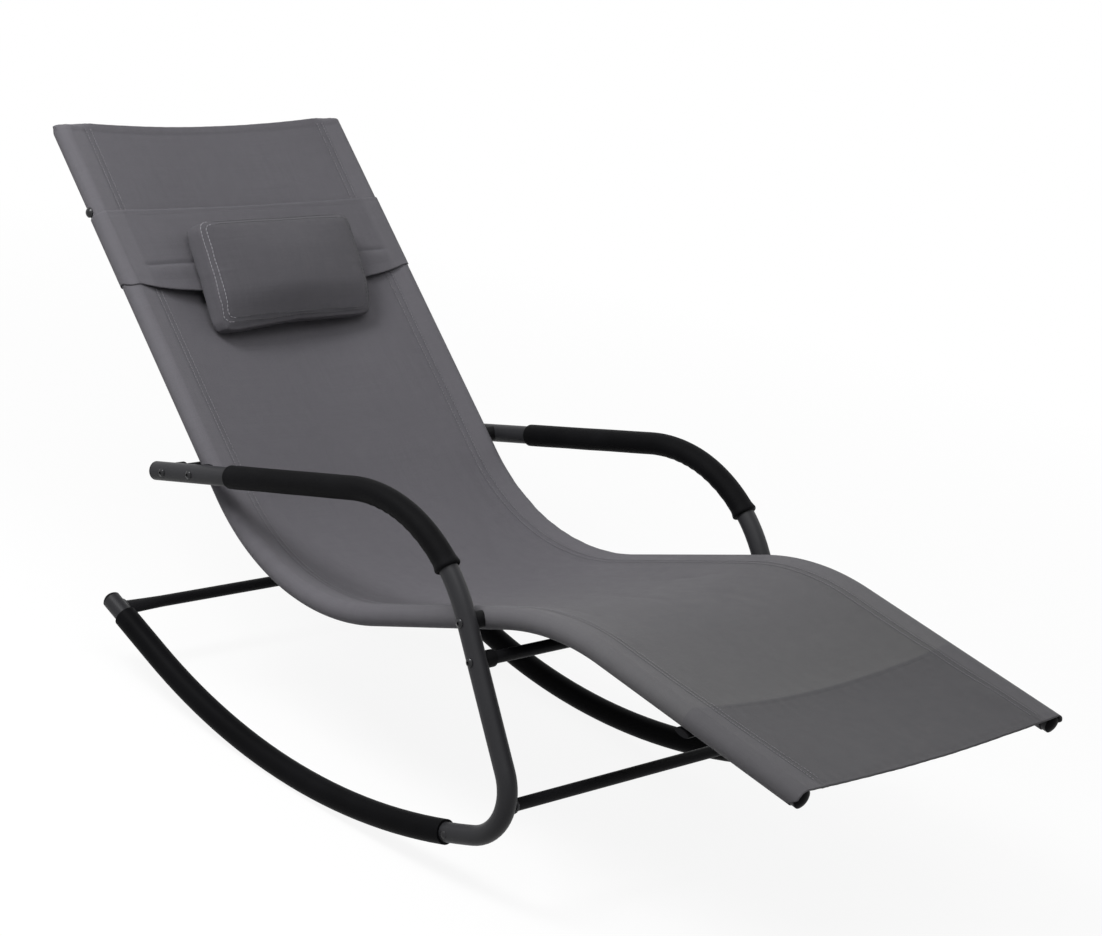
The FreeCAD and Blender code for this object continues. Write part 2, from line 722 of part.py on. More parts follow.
# Sling cross section: a sagging sheet with a sewn hem pocket round each rail
def sling_section(sketch):
    c = rail_plane
    lean = 2 * math.degrees(math.atan(size("sling_sag") / c))
    top_radius = c / sine(lean) - hem_outer
    centre = (0, (top_radius + hem_outer) * cosine(lean))
    under_radius = top_radius + size("fabric_thickness")

    def under(y):
        return centre[1] - math.sqrt(under_radius ** 2 - y ** 2)

    def lower_tangent(apex, radius):
        dy, dz = apex[0] - c, apex[1]
        angle = math.degrees(math.atan2(dz, dy)) + math.degrees(math.acos(radius / math.hypot(dy, dz)))
        return angle, (c + radius * cosine(angle), radius * sine(angle))

    stitch = (c - size("hem_width"), under(c - size("hem_width")))
    inner = (c - size("hem_width") + 4, under(c - size("hem_width") + 4))
    outer_angle, outer_touch = lower_tangent(stitch, hem_outer)
    inner_angle, inner_touch = lower_tangent(inner, hem_inner)

    def both(points_or_arc):
        for mirrored in (False, True):
            points_or_arc(-1 if mirrored else 1)

    def arc_at(side, cy, cz, radius, start, end):
        if side < 0:
            cy, start, end = -cy, 180 - end, 180 - start
        sketch.addGeometry(plane_arc((cy, cz), radius, start, end), False)

    def line_at(side, a, b):
        ends = [Vector(side * across, height, 0) for across, height in (a, b)]
        sketch.addGeometry(Part.LineSegment(*ends), False)

    spread = math.degrees(math.asin(stitch[0] / under_radius))
    sketch.addGeometry(plane_arc(centre, top_radius, 270 - lean, 270 + lean), False)
    sketch.addGeometry(plane_arc(centre, under_radius, 270 - spread, 270 + spread), False)
    inner_spread = math.degrees(math.asin(inner[0] / under_radius))

    def hem(side):
        arc_at(side, c, 0, hem_outer, outer_angle - 360, 0)
        arc_at(side, c, 0, hem_outer, 0, 90 + lean)
        line_at(side, stitch, outer_touch)
        arc_at(side, c, 0, hem_inner, inner_angle - 360, 0)
        arc_at(side, c, 0, hem_inner, 0, 90 + lean)
        line_at(side, inner, inner_touch)
        arc_at(side, 0, centre[1], under_radius, 270 + inner_spread, 270 + lean)

    both(hem)


def sling():
    body = new_body("sling_cloth")
    steps = list(rail_steps)
    steps[0] = ("line", size("back_length") + size("sling_past_rail"))
    steps[-1] = ("line", size("footrest_length") - size("sling_short_of_foot"))
    path = new_sketch(body, "SlingPath", "XZ_Plane")
    edges = add_path(path, steps)
    section = new_sketch(body, "SlingSection", "YZ_Plane")
    sling_section(section)
    add_pipe(body, section, path, edges)
    doc.recompute()
    start = move_on(rail_line[0], -size("sling_past_rail"))
    body.Placement = side_placement(start, rail_line[0][1], 0)
    tools = []
    reach = size("bolt_diameter") / 2 + 0.5
    for joint in (arm_joint, leg_joint):
        for side in (1, -1):
            tools.append(placed_tool(reach, joint, 0, side * rail_plane, (0, side, 0), 30))
    for side in (1, -1):
        tools.append(placed_tool(reach, back_bolt_point, 0, side * rail_plane, (0, side, 0), 30))
        tools.append(placed_tool(bar_radius + 1.0, back_bolt_point, 0, side * rail_plane, (0, -side, 0),
                                 size("hem_width") + 6))
        tools.append(placed_tool(reach, foot_bar_joint, -size("footrest_drop"), side * rail_plane,
                                 (0, 0, -1), 30))
    fuse = doc.addObject("Part::MultiFuse", "SlingHoles")
    fuse.Shapes = tools
    cut = doc.addObject("Part::Cut", "sling")
    cut.Base = body
    cut.Tool = fuse
    cut.Label = "sling"
    doc.recompute()
    return cut


def placed_tool(radius, point, heading, y, direction, length):
    tool = doc.addObject("Part::Cylinder", "Tool")
    tool.Radius = radius
    tool.Height = length
    local = FreeCAD.Placement(Vector(), FreeCAD.Rotation(Vector(0, 0, 1), Vector(*direction)))
    tool.Placement = side_placement(point, heading, y).multiply(local)
    return tool


# Band round the back: a closed loop, its front run dips towards the lower edge
band_top = size("back_bar_distance") + 9.0


def band_section(sketch, radius, dip):
    c = rail_plane
    lean = 2 * math.degrees(math.atan(dip / c))
    run_radius = c / sine(lean) - radius
    centre = (0, (run_radius + radius) * cosine(lean))
    sketch.addGeometry(plane_arc(centre, run_radius, 270 - lean, 270 + lean), False)
    for side in (1, -1):
        first = (-90, 0) if side > 0 else (180, 270)
        second = (0, 90 + lean) if side > 0 else (90 - lean, 180)
        sketch.addGeometry(plane_arc((side * c, 0), radius, *first), False)
        sketch.addGeometry(plane_arc((side * c, 0), radius, *second), False)
    sketch.addGeometry(Part.LineSegment(Vector(-c, -radius, 0), Vector(c, -radius, 0)), False)


def headrest_band():
    body = new_body("headrest_band")
    width = size("band_width")
    dips = (1.0, size("band_dip"))
    for kind, radius in (("Additive", band_outer), ("Subtractive", band_inner)):
        sections = []
        for at, dip in zip((0, width), dips):
            offset = FreeCAD.Placement(Vector(0, 0, at), FreeCAD.Rotation())
            sketch = new_sketch(body, kind + "Section", "YZ_Plane", offset)
            band_section(sketch, radius, dip)
            sections.append(sketch)
        loft = body.newObject("PartDesign::%sLoft" % kind, kind + "Loft")
        loft.Profile = sections[0]
        loft.Sections = sections[1:]
        loft.Ruled = True
        doc.recompute()
    start = move_on(rail_line[0], band_top)
    body.Placement = side_placement(start, rail_line[0][1], 0)
    return body


# Pillow: drawn-in sides, rounded corners and a crowned face, built up in layers
def pillow_outline(sketch, half_height, half_width, corner, draw):
    h, w, r = half_height, half_width, corner
    bulge = r * (1 - math.sqrt(0.5))
    for sx, sy in ((1, 1), (-1, 1), (-1, -1), (1, -1)):
        ends = [Vector(sx * h, sy * (w - r), 0), Vector(sx * (h - r), sy * w, 0)]
        middle = Vector(sx * (h - bulge), sy * (w - bulge), 0)
        if sx * sy < 0:
            ends.reverse()
        sketch.addGeometry(Part.Arc(ends[0], middle, ends[1]), False)
        if sx * sy > 0:
            far = Vector(-sx * (h - r), sy * w, 0)
            sketch.addGeometry(Part.Arc(ends[1], Vector(0, sy * (w - draw), 0), far), False)
        else:
            far = Vector(sx * h, -sy * (w - r), 0)
            sketch.addGeometry(Part.Arc(ends[1], Vector(sx * (h - draw), 0, 0), far), False)


def pillow():
    body = new_body("pillow")
    half_h, half_w = size("pillow_height") / 2, size("pillow_width") / 2
    thick = size("pillow_thickness")
    layers = [(0, 9), (0.10, 3), (0.45, 0), (0.80, 1.5), (0.95, 8), (1.12, 24), (1.24, 44)]
    sections = []
    for level, inset in layers:
        offset = FreeCAD.Placement(Vector(0, 0, level * thick), FreeCAD.Rotation())
        sketch = new_sketch(body, "Layer", "XY_Plane", offset)
        draw = 4.0 if inset < 20 else 2.0
        pillow_outline(sketch, half_h - inset, half_w - 1.2 * inset, 16.0, draw)
        sections.append(sketch)
    loft = body.newObject("PartDesign::AdditiveLoft", "Cushion")
    loft.Profile = sections[0]
    loft.Sections = sections[1:]
    doc.recompute()
    along = band_top + size("pillow_below_band_top")
    start = move_on(rail_line[0], along)
    place = side_placement(start, rail_line[0][1], 0)
    tilt = FreeCAD.Rotation(Vector(0, 1, 0), size("pillow_tilt"))
    lift = FreeCAD.Placement(Vector(0, 0, size("pillow_lift")), tilt)
    centre = FreeCAD.Placement(Vector(half_h, 0, 0), FreeCAD.Rotation())
    body.Placement = place.multiply(lift).multiply(centre)
    return body


# Frame tubes, grips and runner sleeves on both sides
keep_both(arm_tube(), "arm_tube")
keep_both(rocker_tube(), "rocker_tube")
keep_both(arm_grip(), "arm_grip")
keep_both(rocker_sleeve(), "rocker_sleeve")

# Rails, with a hole under each for the footrest bar screw
rail_blank = seat_rail()
rail_blank.Label = "rail_blank"
screw_hole = placed_tool(size("bolt_diameter") / 2 + thread_fit, foot_bar_joint, -size("footrest_drop"),
                         rail_plane, (0, 0, -1), 30)
rail = doc.addObject("Part::Cut", "seat_rail")
rail.Base = rail_blank
rail.Tool = screw_hole
doc.recompute()
keep_both(rail, "seat_rail")

# Plugs in the open tube ends
tail_end, tail_heading = rocker_line[-1]
foot_end, foot_heading = rail_line[-1]
keep_both(end_plug("arm_plug", arm_line[0][0], 180 + size("arm_slope"), arm_plane, 5.0), "arm_end_plug")
keep_both(end_plug("rocker_plug", tail_end, tail_heading, arm_plane, 7.0), "rocker_end_plug")
keep_both(end_plug("top_plug", rail_top, 180 - size("back_angle"), rail_plane, 3.0), "rail_top_plug")
keep_both(end_plug("foot_plug", foot_end, foot_heading, rail_plane, 4.0), "rail_foot_plug")

# Cross bars
keep(front_rocker_bar())
keep(rear_rocker_bar())
keep(bolted_bar("under_seat_bar", seat_bar_joint))
keep(bolted_bar("arm_rear_bar", rear_arm_joint))
keep(upper_back_bar())
keep(foot_bar())


def keep_pair(left, name):
    left.Label = name + "_one"
    keep(group_of([left, mirror_of(left, name + "_two")], name))


# Spacers and saddles
leg_heading = -size("leg_angle")
keep_pair(rail_spacer("arm_spacer", arm_joint, size("arm_slope"), -size("back_angle")), "arm_spacers")
keep_pair(rail_spacer("leg_spacer", leg_joint, leg_heading, size("seat_rise")), "leg_spacers")
keep_pair(bar_saddle("arm_bar_saddle", rear_arm_joint, size("arm_slope")), "arm_bar_saddles")
keep_pair(bar_saddle("seat_bar_saddle", seat_bar_joint, leg_heading), "seat_bar_saddles")

# Bolts, inserts, screws and rivets
seat_gap = 0.05
head_seat = arm_plane + tube_radius + seat_gap
head_radius = size("bolt_head_diameter") / 2
head_height = 0.55 * size("bolt_diameter")
key_radius = 0.38 * size("bolt_diameter")
bar_insert_length = 20.0
bar_thread_reach = 17.0
rail_bolt_length = head_seat - rail_plane + 1
bar_bolt_length = head_seat - (arm_plane - tube_radius - web - bar_thread_reach)


def placed_bolt(label, length, joint, y, radius, height, socket):
    body = bolt(label, length, radius, height, socket)
    body.Placement = side_placement(joint, 0, y)
    return body


for name, length, joint in (("arm_rail_bolts", rail_bolt_length, arm_joint),
                            ("leg_rail_bolts", rail_bolt_length, leg_joint),
                            ("arm_bar_bolts", bar_bolt_length, rear_arm_joint),
                            ("seat_bar_bolts", bar_bolt_length, seat_bar_joint)):
    keep_pair(placed_bolt(name, length, joint, head_seat, head_radius, head_height, key_radius), name)

# Domed bolts of the upper back bar, seated on the cloth round the rail
back_head = rail_plane + hem_outer + seat_gap
back_head_radius = 7.0
back_head_height = 5.0
back_thread_reach = 16.0
back_insert_length = 15.0
back_insert_lead = 2.5
back_bolt_length = back_head - (rail_plane - tube_radius - back_thread_reach)
keep_pair(placed_bolt("back_bolt", back_bolt_length, back_bolt_point, back_head,
                      back_head_radius, back_head_height, 0), "back_bar_bolts")


def placed_insert(label, radius, length, joint, y):
    body = threaded_insert(label, radius, length)
    body.Placement = side_placement(joint, 0, y)
    return body


bar_bore = bar_radius - size("bar_wall") - 0.1
insert_face = rail_plane + tube_radius - 1.0
bar_end = arm_plane - tube_radius - web
keep_pair(placed_insert("arm_insert", size("insert_diameter") / 2, size("insert_length"),
                        arm_joint, insert_face), "arm_rail_inserts")
keep_pair(placed_insert("leg_insert", size("insert_diameter") / 2, size("insert_length"),
                        leg_joint, insert_face), "leg_rail_inserts")
keep_pair(placed_insert("arm_bar_insert", bar_bore, bar_insert_length, rear_arm_joint, bar_end),
          "arm_bar_inserts")
keep_pair(placed_insert("seat_bar_insert", bar_bore, bar_insert_length, seat_bar_joint, bar_end),
          "seat_bar_inserts")
keep_pair(placed_insert("back_bar_insert", bar_bore, back_insert_length, back_bolt_point,
                        rail_plane - tube_radius - back_insert_lead), "back_bar_inserts")


def foot_screw():
    screw_head = size("bolt_diameter") / 2 + 2.0
    body = bolt("foot_screw", size("foot_screw_length"), screw_head, size("bolt_diameter") / 2, 0)
    turn = FreeCAD.Rotation(Vector(0, 1, 0), Vector(0, 0, -1))
    depth = foot_bar_depth + size("foot_bar_end_thickness") / 2 + seat_gap
    local = FreeCAD.Placement(Vector(0, 0, -depth), turn)
    body.Placement = side_placement(foot_bar_joint, -size("footrest_drop"), rail_plane).multiply(local)
    return body


keep_pair(foot_screw(), "footrest_bar_screws")


def stop_rivet():
    body = new_body("stop_rivet")
    outline = new_sketch(body, "Outline", "XY_Plane")
    reach = tube_radius + seat_gap
    head = 5.0
    rise = 2.2
    shank = size("bolt_diameter") / 2
    points = [(0, reach + rise), (0, -reach - rise)]
    outline.addGeometry(Part.LineSegment(Vector(*points[0], 0), Vector(*points[1], 0)), False)
    outline.addGeometry(cap_arc(-reach, rise, head, False, -1), False)
    outline.addGeometry(Part.LineSegment(Vector(head, -reach, 0), Vector(shank, -reach, 0)), False)
    outline.addGeometry(Part.LineSegment(Vector(shank, -reach, 0), Vector(shank, reach, 0)), False)
    outline.addGeometry(Part.LineSegment(Vector(shank, reach, 0), Vector(head, reach, 0)), False)
    outline.addGeometry(cap_arc(reach, rise, head, False), False)
    turned = body.newObject("PartDesign::Revolution", "Turned")
    turned.Profile = outline
    turned.ReferenceAxis = (outline, ["V_Axis"])
    turned.Angle = 360
    doc.recompute()
    body.Placement = side_placement(stop_rivet_joint, 0, arm_plane)
    return body


keep_pair(stop_rivet(), "sleeve_stop_rivets")

# Cloth pieces
keep(sling())
keep(headrest_band())
keep(pillow())

doc.recompute()
for item in doc.Objects:
    for problem in ("Invalid", "Error"):
        if problem in item.State:
            raise RuntimeError("%s is %s" % (item.Label, problem))
for node in nodes:
    shape = node.Shape
    if shape.isNull() or not shape.isValid() or shape.Volume <= 0:
        raise RuntimeError("%s has no good shape" % node.Label)
    shape.exportStep("parts/%s.step" % node.Label)
    box = shape.BoundBox
    print("%-24s solids %d volume %10.0f  x %7.1f %7.1f  y %7.1f %7.1f  z %7.1f %7.1f" % (
        node.Label, len(shape.Solids), shape.Volume,
        box.XMin, box.XMax, box.YMin, box.YMax, box.ZMin, box.ZMax))
print("nodes", len(nodes))
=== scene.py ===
import math

import bmesh
import bpy
import numpy as np
from mathutils import Matrix, Vector
from mathutils.bvhtree import BVHTree


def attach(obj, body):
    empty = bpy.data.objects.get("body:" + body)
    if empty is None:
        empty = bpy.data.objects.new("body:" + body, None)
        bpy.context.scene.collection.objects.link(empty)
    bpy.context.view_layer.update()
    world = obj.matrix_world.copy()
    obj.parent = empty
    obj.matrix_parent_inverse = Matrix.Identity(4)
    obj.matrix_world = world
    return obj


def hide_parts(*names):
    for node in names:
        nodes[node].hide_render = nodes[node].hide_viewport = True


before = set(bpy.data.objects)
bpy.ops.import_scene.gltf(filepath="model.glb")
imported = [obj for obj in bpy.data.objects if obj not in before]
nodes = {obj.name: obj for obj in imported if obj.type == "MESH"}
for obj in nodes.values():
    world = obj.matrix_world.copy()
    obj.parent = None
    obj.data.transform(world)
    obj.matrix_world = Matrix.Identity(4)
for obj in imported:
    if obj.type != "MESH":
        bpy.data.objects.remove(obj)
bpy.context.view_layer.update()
acrossAxis = np.array([0.0, 1.0, 0.0])

# Side lines of the chair at rest, in metres and degrees
rail = {
    "start": (-0.712872, 0.668179), "heading": -39.47,
    "backLength": 0.570, "seatRadius": 0.302, "seatTurn": 61.6, "seatLength": 0.232,
    "kneeRadius": 0.325, "kneeTurn": -28.9, "footLength": 0.317,
    "plane": 0.248, "tubeRadius": 0.0127, "footBar": 0.173,
}
arm = {
    "start": (-0.37392, 0.30240), "heading": 17.83,
    "straight": 0.380, "bendRadius": 0.200, "bendTurn": -72.7, "below": 0.0775,
    "plane": 0.2825, "tubeRadius": 0.0127,
}
runner = {"centre": (-0.0431, 0.907), "tread": 0.907}


def walkLine(side, steps):
    # stations every two millimetres: length so far, x, z, heading
    x, z = side["start"]
    heading = math.radians(side["heading"])
    rows = [(0.0, x, z, heading)]
    for length, turn in steps:
        count = max(2, round(length / 0.002))
        for _ in range(count):
            middle = heading + turn / count / 2
            x += length / count * math.cos(middle)
            z += length / count * math.sin(middle)
            heading += turn / count
            rows.append((rows[-1][0] + length / count, x, z, heading))
    return np.array(rows)


def bendStep(radius, degrees):
    return radius * math.radians(abs(degrees)), math.radians(degrees)


railLine = walkLine(rail, [
    (rail["backLength"], 0), bendStep(rail["seatRadius"], rail["seatTurn"]), (rail["seatLength"], 0),
    bendStep(rail["kneeRadius"], rail["kneeTurn"]), (rail["footLength"], 0)])
armLine = walkLine(arm, [
    (arm["straight"], 0), bendStep(arm["bendRadius"], arm["bendTurn"]), (arm["below"], 0)])
railLength = railLine[-1, 0]
footBarAt = railLength - rail["footBar"]


def asPoints(*values):
    return np.stack(values, axis=-1)


def besideLine(line, along, across, out):
    # points beside a side line: across the chair, and out square to the line
    along, across, out = np.broadcast_arrays(along, across, out)
    x, z, heading = [np.interp(along, line[:, 0], line[:, k]) for k in (1, 2, 3)]
    overrun = along - np.clip(along, 0, line[-1, 0])
    x = x + overrun * np.cos(heading) - out * np.sin(heading)
    z = z + overrun * np.sin(heading) + out * np.cos(heading)
    return asPoints(x, across, z)


def ease(low, high, value):
    share = np.clip((value - low) / (high - low), 0, 1)
    return share * share * (3 - 2 * share)


def hill(value, centre, width):
    return np.exp(-((value - centre) / width) ** 2)


def ripple(first, second, seed):
    # smooth irregular waves between about -1 and 1, from a few crossing sines
    chance = np.random.default_rng(seed)
    total = 0
    for _ in range(5):
        a, b = chance.normal(size=2)
        total = total + np.sin(first * a + second * b + chance.uniform(0, 6.28))
    return total / 3


# Shader building

class Wire:
    # an output socket that can be used in plain arithmetic
    def __init__(self, tree, socket):
        self.tree = tree
        self.socket = socket

    def maths(self, operation, *values):
        made = self.tree.nodes.new("ShaderNodeMath")
        made.operation = operation
        for entry, value in zip(made.inputs, values):
            if isinstance(value, Wire):
                self.tree.links.new(value.socket, entry)
            else:
                entry.default_value = value
        return Wire(self.tree, made.outputs[0])

    def __add__(self, other):
        return self.maths("ADD", self, other)

    def __sub__(self, other):
        return self.maths("SUBTRACT", self, other)

    def __rsub__(self, other):
        return self.maths("SUBTRACT", other, self)

    def __mul__(self, other):
        return self.maths("MULTIPLY", self, other)

    def __gt__(self, other):
        return self.maths("GREATER_THAN", self, other)

    def __abs__(self):
        return self.maths("ABSOLUTE", self)

    __radd__ = __add__
    __rmul__ = __mul__

    def sine(self):
        return self.maths("SINE", self)

    def root(self):
        return self.maths("SQRT", self)

    def limited(self, low=0.0, high=1.0):
        return self.maths("MINIMUM", self.maths("MAXIMUM", self, low), high)

    def between(self, low, high):
        return ((self - low) * (1 / (high - low))).limited()


class Graph:
    # a node tree, in which node() makes any node
    def __init__(self, tree):
        self.tree = tree

    def node(self, kind, settings=None, sockets=None, output=0):
        made = self.tree.nodes.new(kind)
        for name, value in (settings or {}).items():
            setattr(made, name, value)
        for name, value in (sockets or {}).items():
            self.feed(made.inputs[name], value)
        return Wire(self.tree, made.outputs[output])

    def feed(self, entry, value):
        if isinstance(value, Wire):
            self.tree.links.new(value.socket, entry)
        elif isinstance(value, tuple) and len(value) < len(entry.default_value):
            entry.default_value = (*value, 1)
        else:
            entry.default_value = value

    def seenDirectly(self):
        # 1 for rays that show the background: from the camera, or by a reflection or clear matter
        seen = self.node("ShaderNodeLightPath", output="Is Camera Ray")
        for name in ("Is Glossy Ray", "Is Transmission Ray"):
            seen = seen.maths("MAXIMUM", seen, self.node("ShaderNodeLightPath", output=name))
        return seen


class Finish(Graph):
    # one material, whose main shader surface() feeds
    def __init__(self, name):
        self.made = bpy.data.materials.new(name)
        self.made.use_nodes = True
        super().__init__(self.made.node_tree)
        self.shader = self.tree.nodes["Principled BSDF"]

    def surface(self, values):
        for name, value in values.items():
            self.feed(self.shader.inputs[name], value)
        return self.made

    def mix(self, factor, first, second):
        return self.node("ShaderNodeMix", {"data_type": "RGBA"}, {0: factor, 6: first, 7: second}, 2)

    def place(self):
        return self.node("ShaderNodeTexCoord", output="Object")

    def layout(self):
        return self.node("ShaderNodeUVMap", {"uv_map": "cut"})

    def stretched(self, vector, scales):
        return self.node("ShaderNodeVectorMath", {"operation": "MULTIPLY"}, {0: vector, 1: scales})

    def parts(self, vector):
        made = self.node("ShaderNodeSeparateXYZ", None, {0: vector}).socket.node
        return [Wire(self.tree, output) for output in made.outputs]

    def noise(self, where, scale, detail=2.0, roughness=0.5):
        return self.node("ShaderNodeTexNoise", None,
                         {"Vector": where, "Scale": scale, "Detail": detail, "Roughness": roughness})

    def relief(self, height, distance, strength=1.0):
        return self.node("ShaderNodeBump", None,
                         {"Height": height, "Distance": distance, "Strength": strength})


def tinted(color, share):
    return tuple(share * c for c in color)


# Plain weave of coated yarn: one yarn over the next, turn and turn about
weaveLook = {
    "pitch": 0.0012, "yarnColor": (0.148, 0.143, 0.158), "gapColor": (0.050, 0.048, 0.056),
    # painted shade: a darker yarn colour towards the foot, and a share that darkens the foot panel
    "footShadeColor": (0.112, 0.112, 0.109), "relief": 0.00025, "roughness": 0.66, "panelShade": 0.46,
    # painted light: a lighter colour and its share for the cloth round the rails
    "paintedLightColor": (0.185, 0.180, 0.195), "paintedLightShare": 0.16, "streaks": (700.0, 6.0),
}


def wovenCloth(name, paintedShade=1.0):
    finish = Finish(name)
    layout = finish.layout()
    across, along, _ = finish.parts(layout)
    turns = math.pi / weaveLook["pitch"]
    warp, weft = (across * turns).sine(), (along * turns).sine()
    warpOver = warp * weft > 0.0
    warpHeight = abs(warp) * (0.6 + 0.4 * abs(weft))
    weftHeight = abs(weft) * (0.6 + 0.4 * abs(warp))
    weave = warpOver * warpHeight + (1.0 - warpOver) * weftHeight
    fine, coarse = weaveLook["streaks"]
    warpShade = finish.noise(finish.stretched(layout, (fine, coarse, 1.0)), 1.0)
    weftShade = finish.noise(finish.stretched(layout, (coarse, fine, 1.0)), 1.0)
    place = finish.place()
    broad = finish.noise(place, 3.0, 2.0)
    dust = finish.noise(place, 60.0, 4.0, 0.65)
    # painted shade: a share below 1 darkens every colour of this copy of the cloth
    toned = {k: tinted(weaveLook[k], paintedShade) for k in weaveLook if "Color" in k}
    # painted shade: the yarn colour darkens towards the foot
    yarn = finish.mix(along.between(0.85, 1.45), toned["yarnColor"], toned["footShadeColor"])
    color = finish.mix((weave * 1.6 - 0.1).limited(), toned["gapColor"], yarn)
    color = finish.mix(((warpShade + weftShade) * 0.5).between(0.35, 0.75) * 0.28, color, toned["gapColor"])
    color = finish.mix((broad * 0.7 + dust * 0.3).between(0.3, 0.9) * 0.3, color, toned["gapColor"])
    # painted shade: the foot panel past the bar is darkened towards the gap colour
    footPanelShade = (along > footBarAt) * weaveLook["panelShade"]
    color = finish.mix(footPanelShade, color, toned["gapColor"])
    # painted light: the hem strips and the cloth round the tubes are painted lighter
    paintedLightAtRails = abs(finish.parts(place)[1]).between(0.219, 0.226)
    color = finish.mix(paintedLightAtRails * weaveLook["paintedLightShare"], color, toned["paintedLightColor"])
    height = weave + (warpShade + weftShade) * 0.3
    return finish.surface({
        "Base Color": color, "Roughness": dust * 0.2 + (weaveLook["roughness"] - 0.1),
        "Specular IOR Level": 0.14, "Sheen Weight": 0.04, "Sheen Roughness": 0.5,
        "Normal": finish.relief(height, weaveLook["relief"], 0.9)})


def sewingThread(name, color):
    finish = Finish(name)
    place = finish.place()
    twist = finish.noise(place, 2600.0, 1.0)
    tone = finish.mix(twist.between(0.35, 0.7), tinted(color, 0.55), color)
    return finish.surface({
        "Base Color": tone, "Roughness": 0.55, "Sheen Weight": 0.2,
        "Normal": finish.relief(twist, 0.0001, 0.8)})


# Satin powder coat with a little orange peel, fine grit and small rubbed marks
def powderCoat(name, color=(0.019, 0.019, 0.021), shine=0.15):
    finish = Finish(name)
    place = finish.place()
    peel = finish.noise(place, 420.0, 3.0, 0.55)
    grit = finish.noise(place, 1900.0, 1.0)
    broad = finish.noise(place, 9.0, 3.0)
    rubbed = finish.noise(finish.stretched(place, (34.0, 70.0, 34.0)), 3.0, 6.0, 0.7).between(0.66, 0.74)
    tone = finish.mix(broad.between(0.3, 0.8), color, tinted(color, 1.35))
    tone = finish.mix(rubbed * 0.35, tone, tinted(color, 2.4))
    return finish.surface({
        "Base Color": tone, "Roughness": (0.40 + broad * 0.10) - rubbed * 0.10,
        "Specular IOR Level": shine, "Coat Weight": shine * 0.12, "Coat Roughness": 0.3,
        "Normal": finish.relief(peel + grit * 0.4, 0.00016, 0.5)})


# Closed-cell foam: matt, with tiny open cells and faint lines from the die it was pressed through
def gripFoam(name, color=(0.0048, 0.0048, 0.0054)):
    finish = Finish(name)
    layout = finish.layout()
    cells = finish.node("ShaderNodeTexVoronoi", None,
                        {"Vector": finish.place(), "Scale": 1500.0}, "Distance")
    lumps = finish.noise(finish.place(), 240.0, 3.0, 0.6)
    drawn = finish.noise(finish.stretched(layout, (900.0, 12.0, 1.0)), 1.0, 2.0)
    broad = finish.noise(finish.place(), 16.0, 3.0)
    tone = finish.mix(cells.between(0.1, 0.7), tinted(color, 0.55), color)
    tone = finish.mix(broad.between(0.45, 0.8) * 0.5, tone, tinted(color, 2.0))
    return finish.surface({
        "Base Color": tone, "Roughness": broad * 0.12 + 0.50, "Specular IOR Level": 0.03,
        "Sheen Weight": 0.02, "Sheen Roughness": 0.4,
        "Normal": finish.relief(cells * 0.7 + lumps * 0.8 + drawn * 0.4, 0.0003, 0.7)})


# Moulded plastic: fine spark-eroded grain, greyed where the runner rolls on the floor
def mouldedPlastic(name, color=(0.0040, 0.0040, 0.0045), worn=0.0, roughness=0.40):
    finish = Finish(name)
    place = finish.place()
    grain = finish.noise(place, 1400.0, 2.0, 0.6)
    broad = finish.noise(place, 12.0, 3.0)
    scratches = finish.noise(finish.stretched(place, (9.0, 260.0, 9.0)), 4.0, 4.0, 0.7)
    x, _, z = finish.parts(place)
    fromCentre = ((x - runner["centre"][0]) * (x - runner["centre"][0])
                  + (z - runner["centre"][1]) * (z - runner["centre"][1])).root()
    tread = fromCentre.between(runner["tread"] - 0.0035, runner["tread"] - 0.0003)
    wear = tread * scratches.between(0.35, 0.6) * worn
    tone = finish.mix(broad.between(0.35, 0.8), color, tinted(color, 1.6))
    tone = finish.mix(wear, tone, (0.040, 0.039, 0.037))
    return finish.surface({
        "Base Color": tone, "Roughness": (broad * 0.12 + roughness) + wear * 0.25,
        "Specular IOR Level": 0.02,
        "Normal": finish.relief(grain + scratches * wear * 2.0, 0.0001, 0.6)})


# Plated steel: black oxide on the bolts, bright zinc on the threaded inserts
def platedSteel(name, color, roughness, metallic):
    finish = Finish(name)
    place = finish.place()
    turned = finish.noise(finish.stretched(place, (1.0, 14.0, 1.0)), 160.0, 3.0)
    spots = finish.noise(place, 600.0, 3.0, 0.6)
    tone = finish.mix(spots.between(0.35, 0.75), color, tinted(color, 0.6))
    return finish.surface({
        "Base Color": tone, "Roughness": turned * 0.2 + (roughness - 0.1), "Metallic": metallic,
        "Normal": finish.relief(turned + spots * 0.5, 0.00005, 0.5)})


# Weld bead: burnt-in ripples under the coat
def weldCoat(name):
    finish = Finish(name)
    place = finish.place()
    scale = finish.noise(place, 700.0, 4.0, 0.7)
    tone = finish.mix(scale, (0.016, 0.016, 0.018), (0.034, 0.034, 0.037))
    return finish.surface({
        "Base Color": tone, "Roughness": scale * 0.2 + 0.34, "Specular IOR Level": 0.25,
        "Normal": finish.relief(scale, 0.0003, 0.8)})


